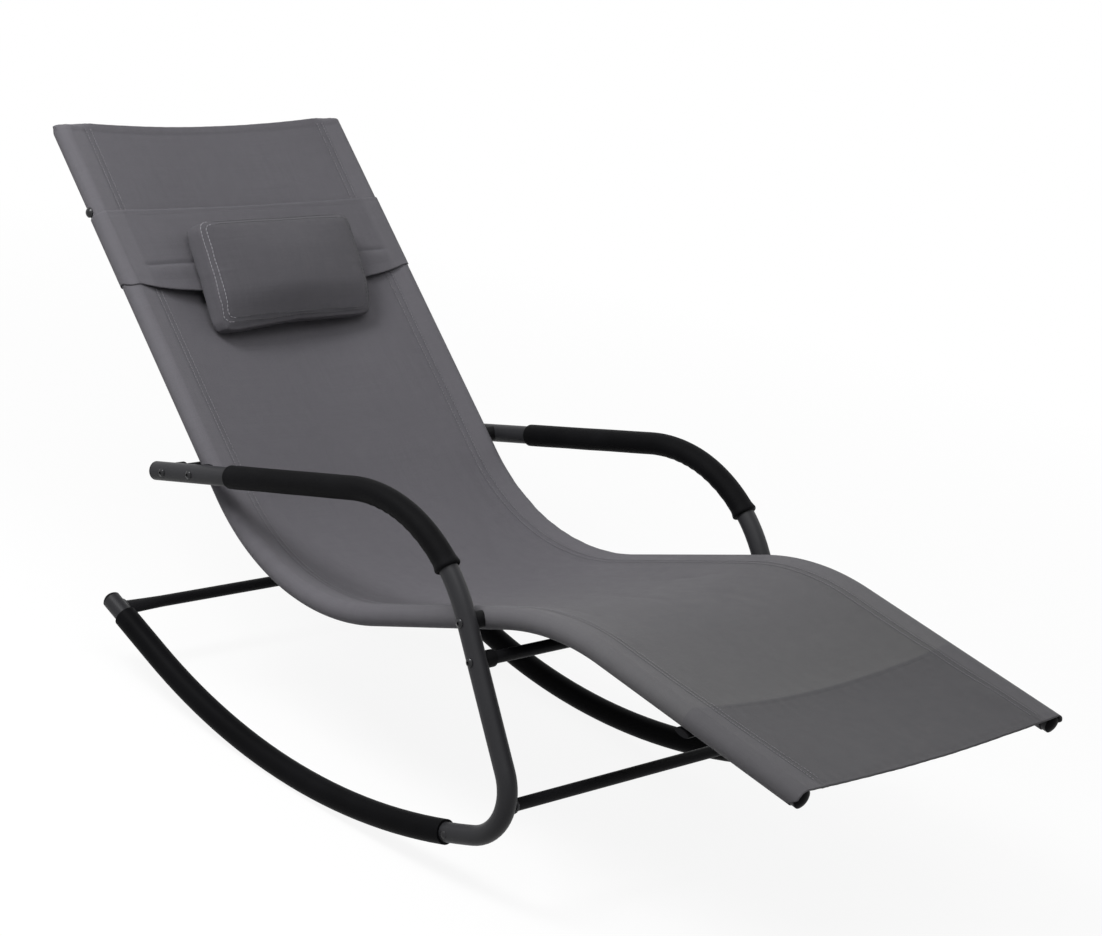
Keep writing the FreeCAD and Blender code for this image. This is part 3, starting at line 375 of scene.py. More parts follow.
finishes = {
    "frameCoat": powderCoat("framePowderCoat"),
    # painted shade: the rocker bars take a darker, duller copy of the frame's powder coat
    "shadedBarCoat": powderCoat("shadedBarPowderCoat", (0.0095, 0.0095, 0.0105), 0.03),
    "weld": weldCoat("weldBeadCoat"),
    "foam": gripFoam("gripFoam"),
    "sleeve": mouldedPlastic("runnerSleevePlastic", worn=0.8),
    "plug": mouldedPlastic("endPlugPlastic", roughness=0.32),
    "spacer": mouldedPlastic("spacerPlastic", (0.0075, 0.0075, 0.0080)),
    "bolt": platedSteel("blackBolt", (0.022, 0.022, 0.024), 0.30, 0.6),
    "insert": platedSteel("zincInsert", (0.55, 0.55, 0.53), 0.38, 1.0),
    "slingCloth": wovenCloth("slingWovenCloth"),
    # the band and the pillow take darker copies of the sling's cloth: painted shade
    "bandCloth": wovenCloth("bandWovenCloth", 0.97),
    "pillowCloth": wovenCloth("pillowWovenCloth", 0.80),
    "thread": sewingThread("greySewingThread", (0.21, 0.205, 0.225)),
    "paleThread": sewingThread("paleSewingThread", (0.60, 0.59, 0.62)),
    "pillowThread": sewingThread("pillowSewingThread", (0.36, 0.35, 0.38)),
    "darkThread": sewingThread("darkSewingThread", (0.045, 0.045, 0.050)),
}

# Nodes take their finish by the end of their name, without the side
nodeFinish = {
    "frameCoat": ("tube", "seat_rail"), "shadedBarCoat": ("bar",), "sleeve": ("sleeve",), "plug": ("plug",),
    "spacer": ("spacers", "saddles"), "bolt": ("bolts", "screws", "rivets"), "insert": ("inserts",),
}
for key, endings in nodeFinish.items():
    for name, item in nodes.items():
        if name.removesuffix("_left").removesuffix("_right").endswith(endings):
            item.data.materials.clear()
            item.data.materials.append(finishes[key])
print("finishes made:", len(finishes))


# Mesh building

def around(count):
    # angles of equal steps round a circle
    return np.linspace(0, 2 * math.pi, count, endpoint=False)


def gridFaces(rows, columns, closed=False):
    wide = columns if closed else columns - 1
    first = np.arange(rows - 1)[:, None] * columns
    column = np.arange(wide)[None, :]
    after = (column + 1) % columns
    quads = [first + column, first + after, first + columns + after, first + columns + column]
    return asPoints(*quads).reshape(-1, 4)


def addObject(name, data):
    item = bpy.data.objects.new(name, data)
    bpy.context.scene.collection.objects.link(item)
    return item


def makePiece(name, points, faces, finishKey, body, layout=None):
    mesh = bpy.data.meshes.new(name)
    mesh.from_pydata(np.asarray(points).reshape(-1, 3).tolist(), [], np.asarray(faces).tolist())
    if layout is not None:
        corners = np.empty(len(mesh.loops), int)
        mesh.loops.foreach_get("vertex_index", corners)
        made = mesh.uv_layers.new(name="cut")
        made.data.foreach_set("uv", np.asarray(layout, float).reshape(-1, 2)[corners].ravel())
    mesh.shade_smooth()
    mesh.materials.append(finishes[finishKey])
    piece = addObject(name, mesh)
    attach(piece, body)
    return piece


def applyModifiers(piece):
    bpy.context.view_layer.update()
    shaped = piece.evaluated_get(bpy.context.evaluated_depsgraph_get())
    mesh = bpy.data.meshes.new_from_object(shaped)
    piece.modifiers.clear()
    piece.data = mesh
    mesh.shade_smooth()


def thicken(piece, look, hems):
    # closed cloth thickness, more where the cloth is folded over into a hem
    group = piece.vertex_groups.new(name="hem")
    for weight in (0.0, 1.0):
        group.add(np.flatnonzero(hems == weight).tolist(), weight, "REPLACE")
    solid = piece.modifiers.new("thickness", "SOLIDIFY")
    solid.thickness = look["hemThickness"]
    solid.offset = 0
    solid.vertex_group = "hem"
    solid.thickness_vertex_group = look["thickness"] / look["hemThickness"]
    applyModifiers(piece)


def unit(vectors):
    return vectors / np.maximum(np.linalg.norm(vectors, axis=-1, keepdims=True), 1e-9)


def hemLean(sag):
    # how far the cloth between the rails leans where it meets the cloth round them
    return 2 * np.arctan(sag / rail["plane"])


def arcHeight(sag, hemRadius, across):
    # stretched cloth hangs in an arc that meets the cloth round the rails without a corner
    reach = rail["plane"] / np.sin(hemLean(sag))
    return reach * np.cos(hemLean(sag)) - np.sqrt((reach - hemRadius) ** 2 - across ** 2)


def runAlong(points):
    # how far each point of a line lies from its first point
    return np.concatenate([[0], np.cumsum(np.linalg.norm(np.diff(points, axis=0), axis=1))])


def pick(values, run, places):
    # a line's values at the places asked for
    return asPoints(*[np.interp(places, run, column) for column in values.T])


threadLook = {"radius": 0.00042, "pitch": 0.0046, "share": 0.74, "arch": 0.00045}


def sewRows(name, rows, finishKey, body, pitch=threadLook["pitch"], radius=threadLook["radius"]):
    # lockstitch: short arched threads that dive into the cloth at both ends
    rings, sides = 7, 6
    half = pitch * threadLook["share"] / 2
    step = np.linspace(-1, 1, rings)
    lift = threadLook["arch"] * (1 - step ** 2) - 0.00022
    girth = radius * np.sqrt(1 - (0.93 * step) ** 2)
    angle = np.arange(sides) * 2 * math.pi / sides
    faces = gridFaces(rings, sides, closed=True)
    allPoints, allFaces, count = [], [], 0
    for points, normals in rows:
        run = runAlong(points)
        centres = np.arange(pitch / 2, run[-1] - pitch / 2, pitch)
        middle = pick(points, run, centres)
        normal = unit(pick(normals, run, centres))
        along = unit(pick(points, run, centres + pitch / 3) - middle)
        side = np.cross(along, normal)
        slant = unit(along + side * 0.06)
        made = (middle[:, None, None] + slant[:, None, None] * (step * half)[None, :, None, None]
                + normal[:, None, None] * (lift[:, None] + girth[:, None] * np.cos(angle))[None, :, :, None]
                + side[:, None, None] * (girth[:, None] * np.sin(angle))[None, :, :, None])
        for stitch in made.reshape(len(centres), -1, 3):
            allPoints.append(stitch)
            allFaces.append(faces + count * rings * sides)
            count += 1
    return makePiece(name, np.concatenate(allPoints), np.concatenate(allFaces), finishKey, body)


def pathOn(surface, along, across, side=1, raised=0.0):
    # a line on a cloth given as a function of along and across, with its normals
    along, across = np.broadcast_arrays(np.asarray(along, float), np.asarray(across, float))
    small = 0.0008
    middle = surface(along, across)
    lengthways = surface(along + small, across) - surface(along - small, across)
    crossways = surface(along, across + small) - surface(along, across - small)
    normal = unit(np.cross(lengthways, crossways)) * side
    return middle + normal * raised, normal


# Sling: one long cloth, hanging a little between the two rails and sewn round each of them
sling = {
    # depth of the cloth under the rails' line, at places along it
    "sag": [(-0.009, 0.0130), (0.12, 0.021), (0.25, 0.0310), (0.31, 0.0300), (0.59, 0.0250),
            (0.79, 0.022), (0.99, 0.0225), (1.19, 0.0240), (1.37, 0.0262), (1.4346, 0.0260),
            (1.52, 0.0175), (1.61, 0.0080)],
    "footBarLift": 0.0046, "hemRadius": 0.0136, "start": -0.009, "end": -0.0055, "cutBack": 0.0130,
    "thickness": 0.0010, "hemThickness": 0.0021, "topHem": 0.013, "footPanel": 0.0015,
    "pocketGap": 0.00115, "flapEdge": 0.203, "halfWidth": 0.262, "headFlat": 0.66,
    "headBow": 0.005, "footBow": 0.001, "cornerRows": (0.1985, 0.2055), "paleEnd": 0.141,
    # height, place along and place across
    "cornerLift": (0.0022, 1.541, 0.195),
    "stitchRows": (0.2110, 0.2200), "seamDepth": 0.0006, "seamSpread": 0.0022, "pucker": 0.00032,
    "puckerPitch": 0.0125, "tug": 0.00020, "tugPitch": 0.021, "gather": 0.00045, "wave": 0.0009,
    # each wrinkle: place along, place across, slant, length, depth
    "wrinkles": [(1.11, 0.010, -0.22, 0.070, 0.0026), (1.08, 0.140, 0.50, 0.050, 0.0018),
                 (1.17, -0.160, -0.30, 0.055, 0.0017), (1.20, 0.090, 0.35, 0.045, 0.0014),
                 (0.80, -0.165, 0.35, 0.045, 0.0012), (0.72, 0.140, -0.45, 0.055, 0.0012)],
    "rowStep": 0.004,
}
betweenRails, roundRail, underneath = 0, 1, 2
slingEnd = railLength - sling["end"]
topHemEnd = sling["start"] + sling["topHem"]
footPanelStart = footBarAt + sling["footPanel"]
hemSeams = (topHemEnd - 0.003, footPanelStart + 0.004, slingEnd - 0.008)


def slingSag(along):
    places, depths = zip(*sling["sag"])
    spread = np.linspace(-0.05, 0.05, 9)
    soft = sum(np.interp(along + d, places, depths) for d in spread) / len(spread)
    return soft - sling["footBarLift"] * np.exp(-np.abs(along - footBarAt) / 0.020)


def slingTop(along, across):
    along, across = np.broadcast_arrays(along, across)
    out = arcHeight(slingSag(along), sling["hemRadius"], across) + slingRelief(along, across)
    return besideLine(railLine, slingEdge(along, across), across, out)


def slingEdge(along, across):
    # both end edges draw in towards the middle, so that the corners point outwards
    bow = 1 - (across / sling["halfWidth"]) ** 2
    head = sling["headBow"] * np.exp(-along / 0.06)
    foot = sling["footBow"] * np.exp((along - slingEnd) / 0.05)
    return along + bow * (head - foot)


def slingRelief(along, across):
    side = np.abs(across)
    inward = sling["stitchRows"][0] - side
    pucker = np.sin(along * 2 * math.pi / sling["puckerPitch"] + 2.5 * ripple(along * 30, across * 0, 3))
    near = np.exp(-np.abs(inward) / 0.011)
    relief = sling["pucker"] * pucker * near * ease(0.235, 0.205, side)
    dent, spread = sling["seamDepth"], sling["seamSpread"]
    for row in sling["stitchRows"]:
        relief = relief - dent * hill(side, row, spread)
    relief = relief - 0.0009 * hill(side, 0.200, 0.010) * ease(0.49, 0.61, along) * ease(0.97, 0.83, along)
    for place in hemSeams:
        relief = relief - dent * hill(along, place, spread) * ease(0.21, 0.20, side)
        tug = np.sin(across * 2 * math.pi / sling["tugPitch"] + 2 * ripple(across * 40, along * 0, 11))
        relief = relief + sling["tug"] * tug * hill(along, place, 0.012)
    broad = ripple(along * 9, across * 14, 5)
    lengthways = ripple(along * 3, across * 55, 8)
    relief = relief + sling["wave"] * 0.6 * (broad + 0.35 * lengthways) * ease(0.21, 0.14, side)
    # slack at the foot's far corner lifts a little
    lift, place, offset = sling["cornerLift"]
    relief = relief + lift * hill(along, place, 0.03) * hill(across, offset, 0.022)
    # slanting wrinkles where the seat has been sat in
    for place, offset, slant, length, depth in sling["wrinkles"]:
        ahead = (along - place) * math.cos(slant) + (across - offset) * math.sin(slant)
        beside = (across - offset) * math.cos(slant) - (along - place) * math.sin(slant)
        relief = relief - depth * hill(beside, 0.0, 0.0105) * hill(ahead, 0.0, length)
    return relief


def slingSection(along):
    # one row from side to side: flap, pocket underside, round the rail, middle, and the same again
    c, r, gap = rail["plane"], sling["hemRadius"], sling["pocketGap"]
    sag = slingSag(along)
    lean = hemLean(sag)
    stitch = sling["stitchRows"][1] + 0.001
    touch = c - r * math.sin(lean)
    top = np.concatenate([np.linspace(0, 0.188, 38, endpoint=False), np.linspace(0.188, touch, 26)])
    heights = arcHeight(sag, r, top)
    under = arcHeight(sag, r, stitch) - gap
    away = math.hypot(stitch - c, under)
    low = math.atan2(under, stitch - c) + math.acos(r / away) - 2 * math.pi
    turn = np.linspace(math.pi / 2 + lean, low, 30)[1:]
    pocket = asPoints(c + r * np.cos(turn), r * np.sin(turn))
    rise = np.linspace(pocket[-1], (stitch, under), 9)[1:]
    flapAcross = np.linspace(stitch, sling["flapEdge"], 6)[1:]
    flap = asPoints(flapAcross, arcHeight(sag, r, flapAcross) - gap)
    half = np.concatenate([asPoints(top, heights), pocket, rise, flap])
    kind = np.repeat([betweenRails, roundRail, underneath], [len(top), len(pocket), len(rise) + len(flap)])
    other = half[:0:-1] * [-1, 1]
    section = np.concatenate([other, half])
    return section, np.concatenate([kind[:0:-1], kind])


def buildSling():
    rows = np.arange(sling["start"], slingEnd, sling["rowStep"])
    edges = [topHemEnd, footPanelStart]
    ends = [sling["start"] + d for d in (0.0015, 0.003, 0.0045, 0.006)] + [slingEnd - 0.002, slingEnd]
    extra = [edge + d for edge in edges for d in (-0.0006, 0.0006)] + ends
    rows = np.unique(np.concatenate([rows[np.min(np.abs(rows[:, None] - edges), axis=1) > 0.001], extra]))
    points, layout, hems = [], [], []
    for along in rows:
        section, kind = slingSection(along)
        across, out = section[:, 0], section[:, 1]
        relief = slingRelief(along, across)
        gathers = ripple(along * 130, np.sign(across) * 3, 21) + 0.5 * ripple(along * 260, across * 8, 23)
        bunched = ease(0.57, 0.65, along) * ease(0.91, 0.85, along)
        onRail = kind == roundRail
        pushed = sling["gather"] * gathers * bunched * ease(-0.004, 0.010, out) * onRail
        direction = unit(asPoints(across - np.sign(across) * rail["plane"], out))
        across = across + direction[:, 0] * pushed
        out = out + np.where(onRail, direction[:, 1] * pushed, relief)
        # past the plug at the head the pocket is pressed flat; at the foot it is cut back underneath
        flat = sling["headFlat"] * ease(-0.003, sling["start"], along)
        flat = flat * np.where(kind == betweenRails, ease(0.205, 0.240, np.abs(across)), 1.0)
        under = np.where(kind == underneath, 1.0, ease(0.004, -0.010, out) * onRail)
        place = slingEdge(along, across) - sling["cutBack"] * under * ease(slingEnd - 0.030, slingEnd, along)
        across = across + np.sign(across) * 0.003 * flat * onRail
        out = out + (0.003 - out) * flat
        points.append(besideLine(railLine, place, across, out))
        layout.append(asPoints(runAlong(section), np.full(len(section), along)))
        inHem = (along < edges[0]) or (along > edges[1])
        hems.append(np.where((kind == betweenRails) & inHem, 1.0, 0.0))
    points, layout = np.array(points), np.array(layout)
    flat = (float(layout[0, -1, 0]), float(rows[-1] - rows[0]))
    faces = gridFaces(len(rows), points.shape[1])
    piece = makePiece("slingCloth", points, faces, "slingCloth", "frame", layout)
    thicken(piece, sling, np.concatenate(hems))
    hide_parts("sling")
    return piece, flat


slingPiece, slingFlat = buildSling()


def sewSling():
    # thread shows pale at the head and at the foot panel, and sinks into the cloth between them
    top = np.arange(topHemEnd - 0.004, sling["paleEnd"], 0.004)
    lower = np.arange(sling["paleEnd"], slingEnd - 0.012, 0.004)
    corner = np.arange(footPanelStart + 0.004, footPanelStart + 0.064, 0.003)
    across = np.arange(-0.207, 0.207, 0.004)
    pale, plain, dark = [], [], []
    for side in (-1, 1):
        for place in sling["stitchRows"]:
            pale.append(pathOn(slingTop, top, side * place, -1, 0.0009))
            plain.append(pathOn(slingTop, lower, side * place, -1, 0.0006))
            plain.append(pathOn(slingTop, np.concatenate([top, lower]), side * place, 1, 0.0018))
        for place in sling["cornerRows"]:
            pale.append(pathOn(slingTop, corner, side * place, -1, 0.0014))
    for place in hemSeams:
        dark.append(pathOn(slingTop, place, across, -1, 0.0011))
        dark.append(pathOn(slingTop, place, across, 1, 0.0011))
    kinds = (("slingStitching", plain, "thread", 1.0), ("slingPaleStitching", pale, "paleThread", 1.8),
             ("slingHemStitching", dark, "darkThread", 1.0))
    return [sewRows(name, rows, key, "frame", radius=threadLook["radius"] * thicker)
            for name, rows, key, thicker in kinds]


sewSling()
print("sling sewn, flat size", [round(v, 3) for v in slingFlat])


# Headrest band: a loop round both rails, drawn tight at its seam and slack along the lower edge
band = {
    "top": 0.137, "width": 0.107, "radius": 0.0153, "thickness": 0.0010, "hemThickness": 0.0018,
    "crease": 0.089, "dip": [(0.0, 0.0030), (0.04, 0.0026), (0.089, 0.0015), (0.107, 0.0080)],
    "droop": 0.027, "railDroop": 0.010, "hem": 0.009, "seamAcross": 0.2165, "rowStep": 0.003,
}
bandHems = (band["hem"] - 0.002, band["width"] - band["hem"] + 0.002)


def bandDip(down):
    places, depths = zip(*band["dip"])
    return np.interp(down, places, depths)


def bandDown(down, across):
    # the lower edge hangs below the straight crease
    slack = ease(band["crease"] - 0.004, band["width"] + 0.012, down) * 1.6
    middle = np.clip(1 - (across / 0.246) ** 4, 0, 1)
    lifted = ease(0.03, 0.0, down) * np.clip(1 - (across / 0.236) ** 2, 0, 1)
    hang = band["railDroop"] + (band["droop"] - band["railDroop"]) * middle
    return down + hang * np.minimum(slack, 1) + 0.002 * lifted


def bandRelief(down, across):
    relief = -0.0022 * hill(down, band["crease"] - 0.001, 0.0024) * ease(0.232, 0.210, np.abs(across))
    visible = ease(0.130, 0.150, np.abs(across)) * ease(0.236, 0.20, np.abs(across))
    relief = relief + 0.0014 * hill(down, band["crease"] + 0.005, 0.0040) * visible
    for place in bandHems:
        relief = relief - 0.0004 * hill(down, place, 0.0018)
    relief = relief - 0.0006 * hill(np.abs(across), band["seamAcross"], 0.003)
    drawn = ripple(down * 60, across * 12, 31) + 0.5 * ripple(down * 25, across * 70, 33)
    tugged = ease(0.10, 0.16, np.abs(across)) * ease(0.24, 0.2, np.abs(across))
    return relief + 0.00055 * drawn * (0.4 + 0.6 * tugged)


def bandFront(down, across):
    down, across = np.broadcast_arrays(down, across)
    out = arcHeight(bandDip(down), band["radius"], across) + bandRelief(down, across)
    return besideLine(railLine, band["top"] + bandDown(down, across), across, out)


def buildBand():
    c, r = rail["plane"], band["radius"]
    edges = [band["hem"], band["crease"], band["width"] - band["hem"]]
    rows = np.concatenate([np.arange(0, band["width"], band["rowStep"]), [band["width"]],
                           [e + d for e in edges for d in (-0.0015, -0.0006, 0.0006, 0.0015)]])
    rows = np.unique(np.round(rows, 5))
    points, layout, hems = [], [], []
    for down in rows:
        lean = hemLean(bandDip(down))
        touch = c - r * math.sin(lean)
        top = np.linspace(-touch, touch, 121)
        turn = np.linspace(math.pi / 2 + lean, -math.pi / 2, 26)[1:]
        right = asPoints(c + r * np.cos(turn), r * np.sin(turn))
        back = asPoints(np.linspace(c, -c, 61)[1:-1], np.full(59, -r))
        left = right[::-1] * [-1, 1]
        heights = arcHeight(bandDip(down), r, top) + bandRelief(down, top)
        section = np.concatenate([asPoints(top, heights), right, back, left])
        across, out = section[:, 0], section[:, 1]
        isFront = np.arange(len(section)) < len(top)
        # round the tube the hang dies away towards the back
        hanging = np.where(isFront, 1.0, ease(-0.2, 1.0, out / r))
        place = down + (bandDown(down, np.clip(across, -touch, touch)) - down) * hanging
        points.append(besideLine(railLine, band["top"] + place, across, out))
        layout.append(asPoints(runAlong(section), place))
        inHem = down < band["hem"] or down > band["width"] - band["hem"]
        hems.append(np.where(isFront & inHem & (np.abs(across) < 0.228), 1.0, 0.0))
    points, layout = np.array(points), np.array(layout)
    # the strip is wider in front, where its lower edge hangs; the mean width is given
    flat = (float(layout[0, -1, 0]) + 0.001, band["width"] + 0.46 * band["droop"])
    piece = makePiece("headrestBandCloth", points, gridFaces(len(rows), points.shape[1], closed=True),
                      "bandCloth", "headrest", layout)
    thicken(piece, band, np.concatenate(hems))
    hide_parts("headrest_band")
    return piece, flat


bandPiece, bandFlat = buildBand()


def sewBand():
    across = np.arange(-0.226, 0.226, 0.004)
    rows = [pathOn(bandFront, place, across, -1, 0.0009) for place in bandHems]
    down = np.arange(0.012, band["crease"] - 0.002, 0.003)
    seams = [pathOn(bandFront, down, side * band["seamAcross"] + offset, -1, 0.0006)
             for side in (-1, 1) for offset in (-0.0035, 0.0035)]
    return [sewRows("headrestBandStitching", rows, "thread", "headrest"),
            sewRows("headrestBandSeams", seams, "paleThread", "headrest")]


bandStitching = sewBand()
print("headrest band sewn, flat size", [round(v, 3) for v in bandFlat])


# Head pillow: a stuffed box with a gusset all round, thicker along its upper edge
pillow = {
    "along": 0.178, "lift": 0.0250, "tilt": 11.0, "length": 0.151, "width": 0.288,
    "topThickness": 0.036, "lowThickness": 0.034, "crown": 0.0105, "taper": 0.085, "roll": 0.011,
    "cornerHang": 0.009, "seamCorner": 0.012,
    # each seam: distance from the edge, height as a share of the thickness
    "seams": [(0.0062, 0.97), (0.0012, 0.84), (0.0015, 0.10)],
    "seamInset": 0.0040, "seamDepth": 0.0014, "edgeSoftness": 0.14, "voxel": 0.0048,
    "stuffing": {"quality": 5, "mass": 0.25, "tension_stiffness": 12, "compression_stiffness": 12,
                 "bending_stiffness": 0.3, "shrink_min": -0.04, "use_pressure": True,
                 "uniform_pressure_force": 4.0},
    "frames": 20, "softness": (0.04, 0.06, 0.30), "clear": 0.0012, "wander": 0.0009,
    "stitchPitch": 0.0056, "paleRadius": 0.00052, "paleWithin": 0.020,
}


def pillowMatrix():
    heading = math.radians(rail["heading"])
    down = Vector((math.cos(heading), 0, math.sin(heading)))
    out = Vector((-math.sin(heading), 0, math.cos(heading)))
    tilt = math.radians(pillow["tilt"])
    downward = down * math.cos(tilt) - out * math.sin(tilt)
    outward = down * math.sin(tilt) + out * math.cos(tilt)
    origin = Vector(besideLine(railLine, pillow["along"], 0.0, pillow["lift"]).tolist())
    matrix = Matrix((downward, Vector((0, 1, 0)), outward)).transposed().to_4x4()
    matrix.translation = origin
    return matrix


def roundedBox(length, width, depth, corner, rows=48, columns=96):
    # a box with soft edges, as a closed net of points round its middle
    def squared(value):
        return np.sign(value) * np.abs(value) ** corner

    up = np.linspace(-math.pi / 2, math.pi / 2, rows)[:, None]
    turn = np.linspace(-math.pi, math.pi, columns, endpoint=False)[None, :]
    x = squared(np.cos(up)) * squared(np.cos(turn)) * length / 2
    y = squared(np.cos(up)) * squared(np.sin(turn)) * width / 2
    z = squared(np.sin(up)) * np.ones_like(turn) * depth / 2
    return asPoints(x, y, z), gridFaces(rows, columns, closed=True)


def pillowWidth(height):
    # the front panel is cut narrower than the back one
    return pillow["width"] * (1 + pillow["taper"] * (0.5 - height))


def pillowThickness(share):
    # from the upper edge, at 0, to the lower one, at 1
    return pillow["topThickness"] + (pillow["lowThickness"] - pillow["topThickness"]) * share


def shapeOf(piece):
    return np.array([v.co for v in piece.data.vertices])


def stuffPillow(piece):
    cloth = piece.modifiers.new("cloth", "CLOTH")
    for name, value in pillow["stuffing"].items():
        setattr(cloth.settings, name, value)
    cloth.settings.effector_weights.gravity = 0
    cloth.collision_settings.use_collision = False
    cloth.point_cache.frame_start = 1
    cloth.point_cache.frame_end = pillow["frames"]
    scene = bpy.context.scene
    for number in range(1, pillow["frames"] + 1):
        scene.frame_set(number)
    applyModifiers(piece)
    scene.frame_set(1)


def cutPillow():
    # an evenly meshed box, stuffed
    length, width, depth = pillow["length"], pillow["width"], pillow["lowThickness"]
    points, faces = roundedBox(length * 0.95, width * 0.97, depth, pillow["edgeSoftness"])
    piece = makePiece("headPillow", points, faces, "pillowCloth", "headrest")
    piece.parent = None
    remesh = piece.modifiers.new("even", "REMESH")
    remesh.mode = "VOXEL"
    remesh.voxel_size = pillow["voxel"]
    applyModifiers(piece)
    # the cut panels hold the outline, so the stuffed shape counts only in part
    cut = shapeOf(piece)
    cut = (cut - cut.min(0)) / np.ptp(cut, axis=0)
    stuffPillow(piece)
    stuffed = shapeOf(piece)
    stuffed = (stuffed - stuffed.min(0)) / np.ptp(stuffed, axis=0)
    mixed = cut + (stuffed - cut) * pillow["softness"]
    piece.data.vertices.foreach_set("co", (mixed * (length, width, depth)).ravel())
    finer = piece.modifiers.new("finer", "SUBSURF")
    finer.levels = finer.render_levels = 1
    applyModifiers(piece)
    return piece


def plumpShape(x, y, z):
    # the panels bulge, the lower edge rolls back and one lower corner hangs
    crown = pillow["crown"] * np.clip(1 - 4 * x ** 2, 0, 1) * np.clip(1 - 4 * y ** 2, 0, 1) ** 0.6
    rolled = pillow["roll"] * ease(0.16, 0.52, x) + 0.002 * ease(-0.42, -0.5, x)
    hang = pillow["cornerHang"] * (x + 0.5) ** 2 * np.clip(-2 * y, 0, 1)
    return asPoints((x + 0.5) * pillow["length"] + hang, y * pillowWidth(z + 0.5),
                    (z + 0.5) * (pillowThickness(x + 0.5) + crown - rolled))


def buildPillow():
    piece = cutPillow()
    shape = shapeOf(piece)
    low, high = shape.min(0), shape.max(0)
    x, y, z = ((shape - (low + high) / 2) / (high - low)).T          # -0.5 to 0.5 each way
    placed = restOnCloth(pinchSeams(plumpShape(x, y, z), x, y, z), z)
    piece.data.vertices.foreach_set("co", placed.ravel())
    layPanels(piece.data)
    piece.matrix_world = pillowMatrix()
    bpy.context.view_layer.update()
    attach(piece, "headrest")
    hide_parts("pillow")
    return piece


def clothBelow(along, across):
    # height over the rails of the cloth that the pillow lies on: the band, then the sling
    down = along - band["top"]
    onBand = arcHeight(bandDip(np.clip(down, 0, band["width"])), band["radius"], across)
    onSling = arcHeight(slingSag(along), sling["hemRadius"], across)
    return np.where(down < band["width"] + 0.012, onBand, onSling) + 0.0006


def restOnCloth(placed, z):
    # whatever would dip into the cloth is pushed up, and the face above it follows in part
    tilt = math.radians(pillow["tilt"])
    along = pillow["along"] + placed[:, 0] * math.cos(tilt)
    height = pillow["lift"] - placed[:, 0] * math.sin(tilt)
    under = clothBelow(along, placed[:, 1]) + pillow["clear"] - height
    placed[:, 2] += np.maximum(under, 0) * (1 - 0.5 * np.clip(z + 0.5, 0, 1))
    return placed


def pinchSeams(placed, x, y, z):
    # seams run round the front and back panels, where the gusset begins
    rim = np.maximum(np.abs(x) * pillow["length"] + (0.5 * pillow["width"] - 0.5 * pillow["length"]),
                     np.abs(y) * pillow["width"])
    edge = 0.5 * pillow["width"] - rim
    pull = hill(edge, pillow["seamInset"], 0.0028) * ease(0.25, 0.42, np.abs(z))
    tuck = ripple(x * 60, y * 90, 41) * hill(edge, 0.010, 0.008) * ease(0.2, 0.45, z)
    placed[:, 2] += 0.00025 * tuck - np.sign(z) * pillow["seamDepth"] * pull
    return placed


def layPanels(mesh):
    # the weave lies flat on each panel, and turns at the seams
    made = mesh.uv_layers.new(name="cut")
    for face in mesh.polygons:
        nx, ny, nz = [abs(v) for v in face.normal]
        for corner in face.loop_indices:
            x, y, z = mesh.vertices[mesh.loops[corner].vertex_index].co
            if nz > 0.62:
                made.data[corner].uv = (y, x)
            elif ny > nx:
                made.data[corner].uv = (x, z)
            else:
                made.data[corner].uv = (y, z)


pillowPiece = buildPillow()


def seamRing(inset, height):
    # a seam's round as the needle wanders along it, seen square to the front panel
    l, w, corner = pillow["length"] / 2 - inset, pillowWidth(height) / 2 - inset, pillow["seamCorner"]
    ring = []
    for cx, cy, start in ((l, w, 0), (-l, w, 90), (-l, -w, 180), (l, -w, 270)):
        for degrees in range(start, start + 91, 10):
            a = math.radians(degrees)
            ring.append((cx - math.copysign(corner, cx) + corner * math.cos(a),
                         cy - math.copysign(corner, cy) + corner * math.sin(a)))
    ring = np.array(ring + ring[:1])
    steps = np.arange(0, runAlong(ring)[-1], 0.002)
    wander = [ripple(steps * pace, steps * 0, seed) for pace, seed in ((160, 71), (190, 73))]
    return pick(ring, runAlong(ring), steps) + pillow["wander"] * asPoints(*wander)


def sewPillow():
    # stitches follow the front seam, on the panel and on the gusset, and the back seam
    mesh = pillowPiece.data
    tree = BVHTree.FromPolygons([v.co for v in mesh.vertices], [p.vertices for p in mesh.polygons])
    matrix = np.array(pillowPiece.matrix_world)
    light, dark = [], []
    for inset, height in pillow["seams"]:
        ring = seamRing(inset, height)
        points, normals = [], []
        for x, y in ring:
            thick = pillowThickness(x / pillow["length"] + 0.5)
            place, normal, _, _ = tree.find_nearest(Vector((x + pillow["length"] / 2, y, height * thick)))
            points.append(place + normal * 0.0003)
            normals.append(normal)
        points = np.array(points) @ matrix[:3, :3].T + matrix[:3, 3]
        normals = np.array(normals) @ matrix[:3, :3].T
        # the right-hand side is top-stitched in pale thread, the others in dark
        atSide = np.abs(ring[:, 1]) > pillowWidth(height) / 2 - pillow["paleWithin"]
        starts = np.flatnonzero(np.diff(atSide.astype(int))) + 1
        for part in np.split(np.arange(len(ring)), starts):
            if len(part) > 4:
                kept = light if ring[part[0], 1] < 0 and atSide[part[0]] and height > 0.5 else dark
                kept.append((points[part], normals[part]))
    pitch = pillow["stitchPitch"]
    sewRows("headPillowPaleStitching", light, "pillowThread", "headrest", pitch,
            pillow["paleRadius"])
    sewRows("headPillowStitching", dark, "darkThread", "headrest", pitch)


sewPillow()
print("head pillow stuffed and sewn")


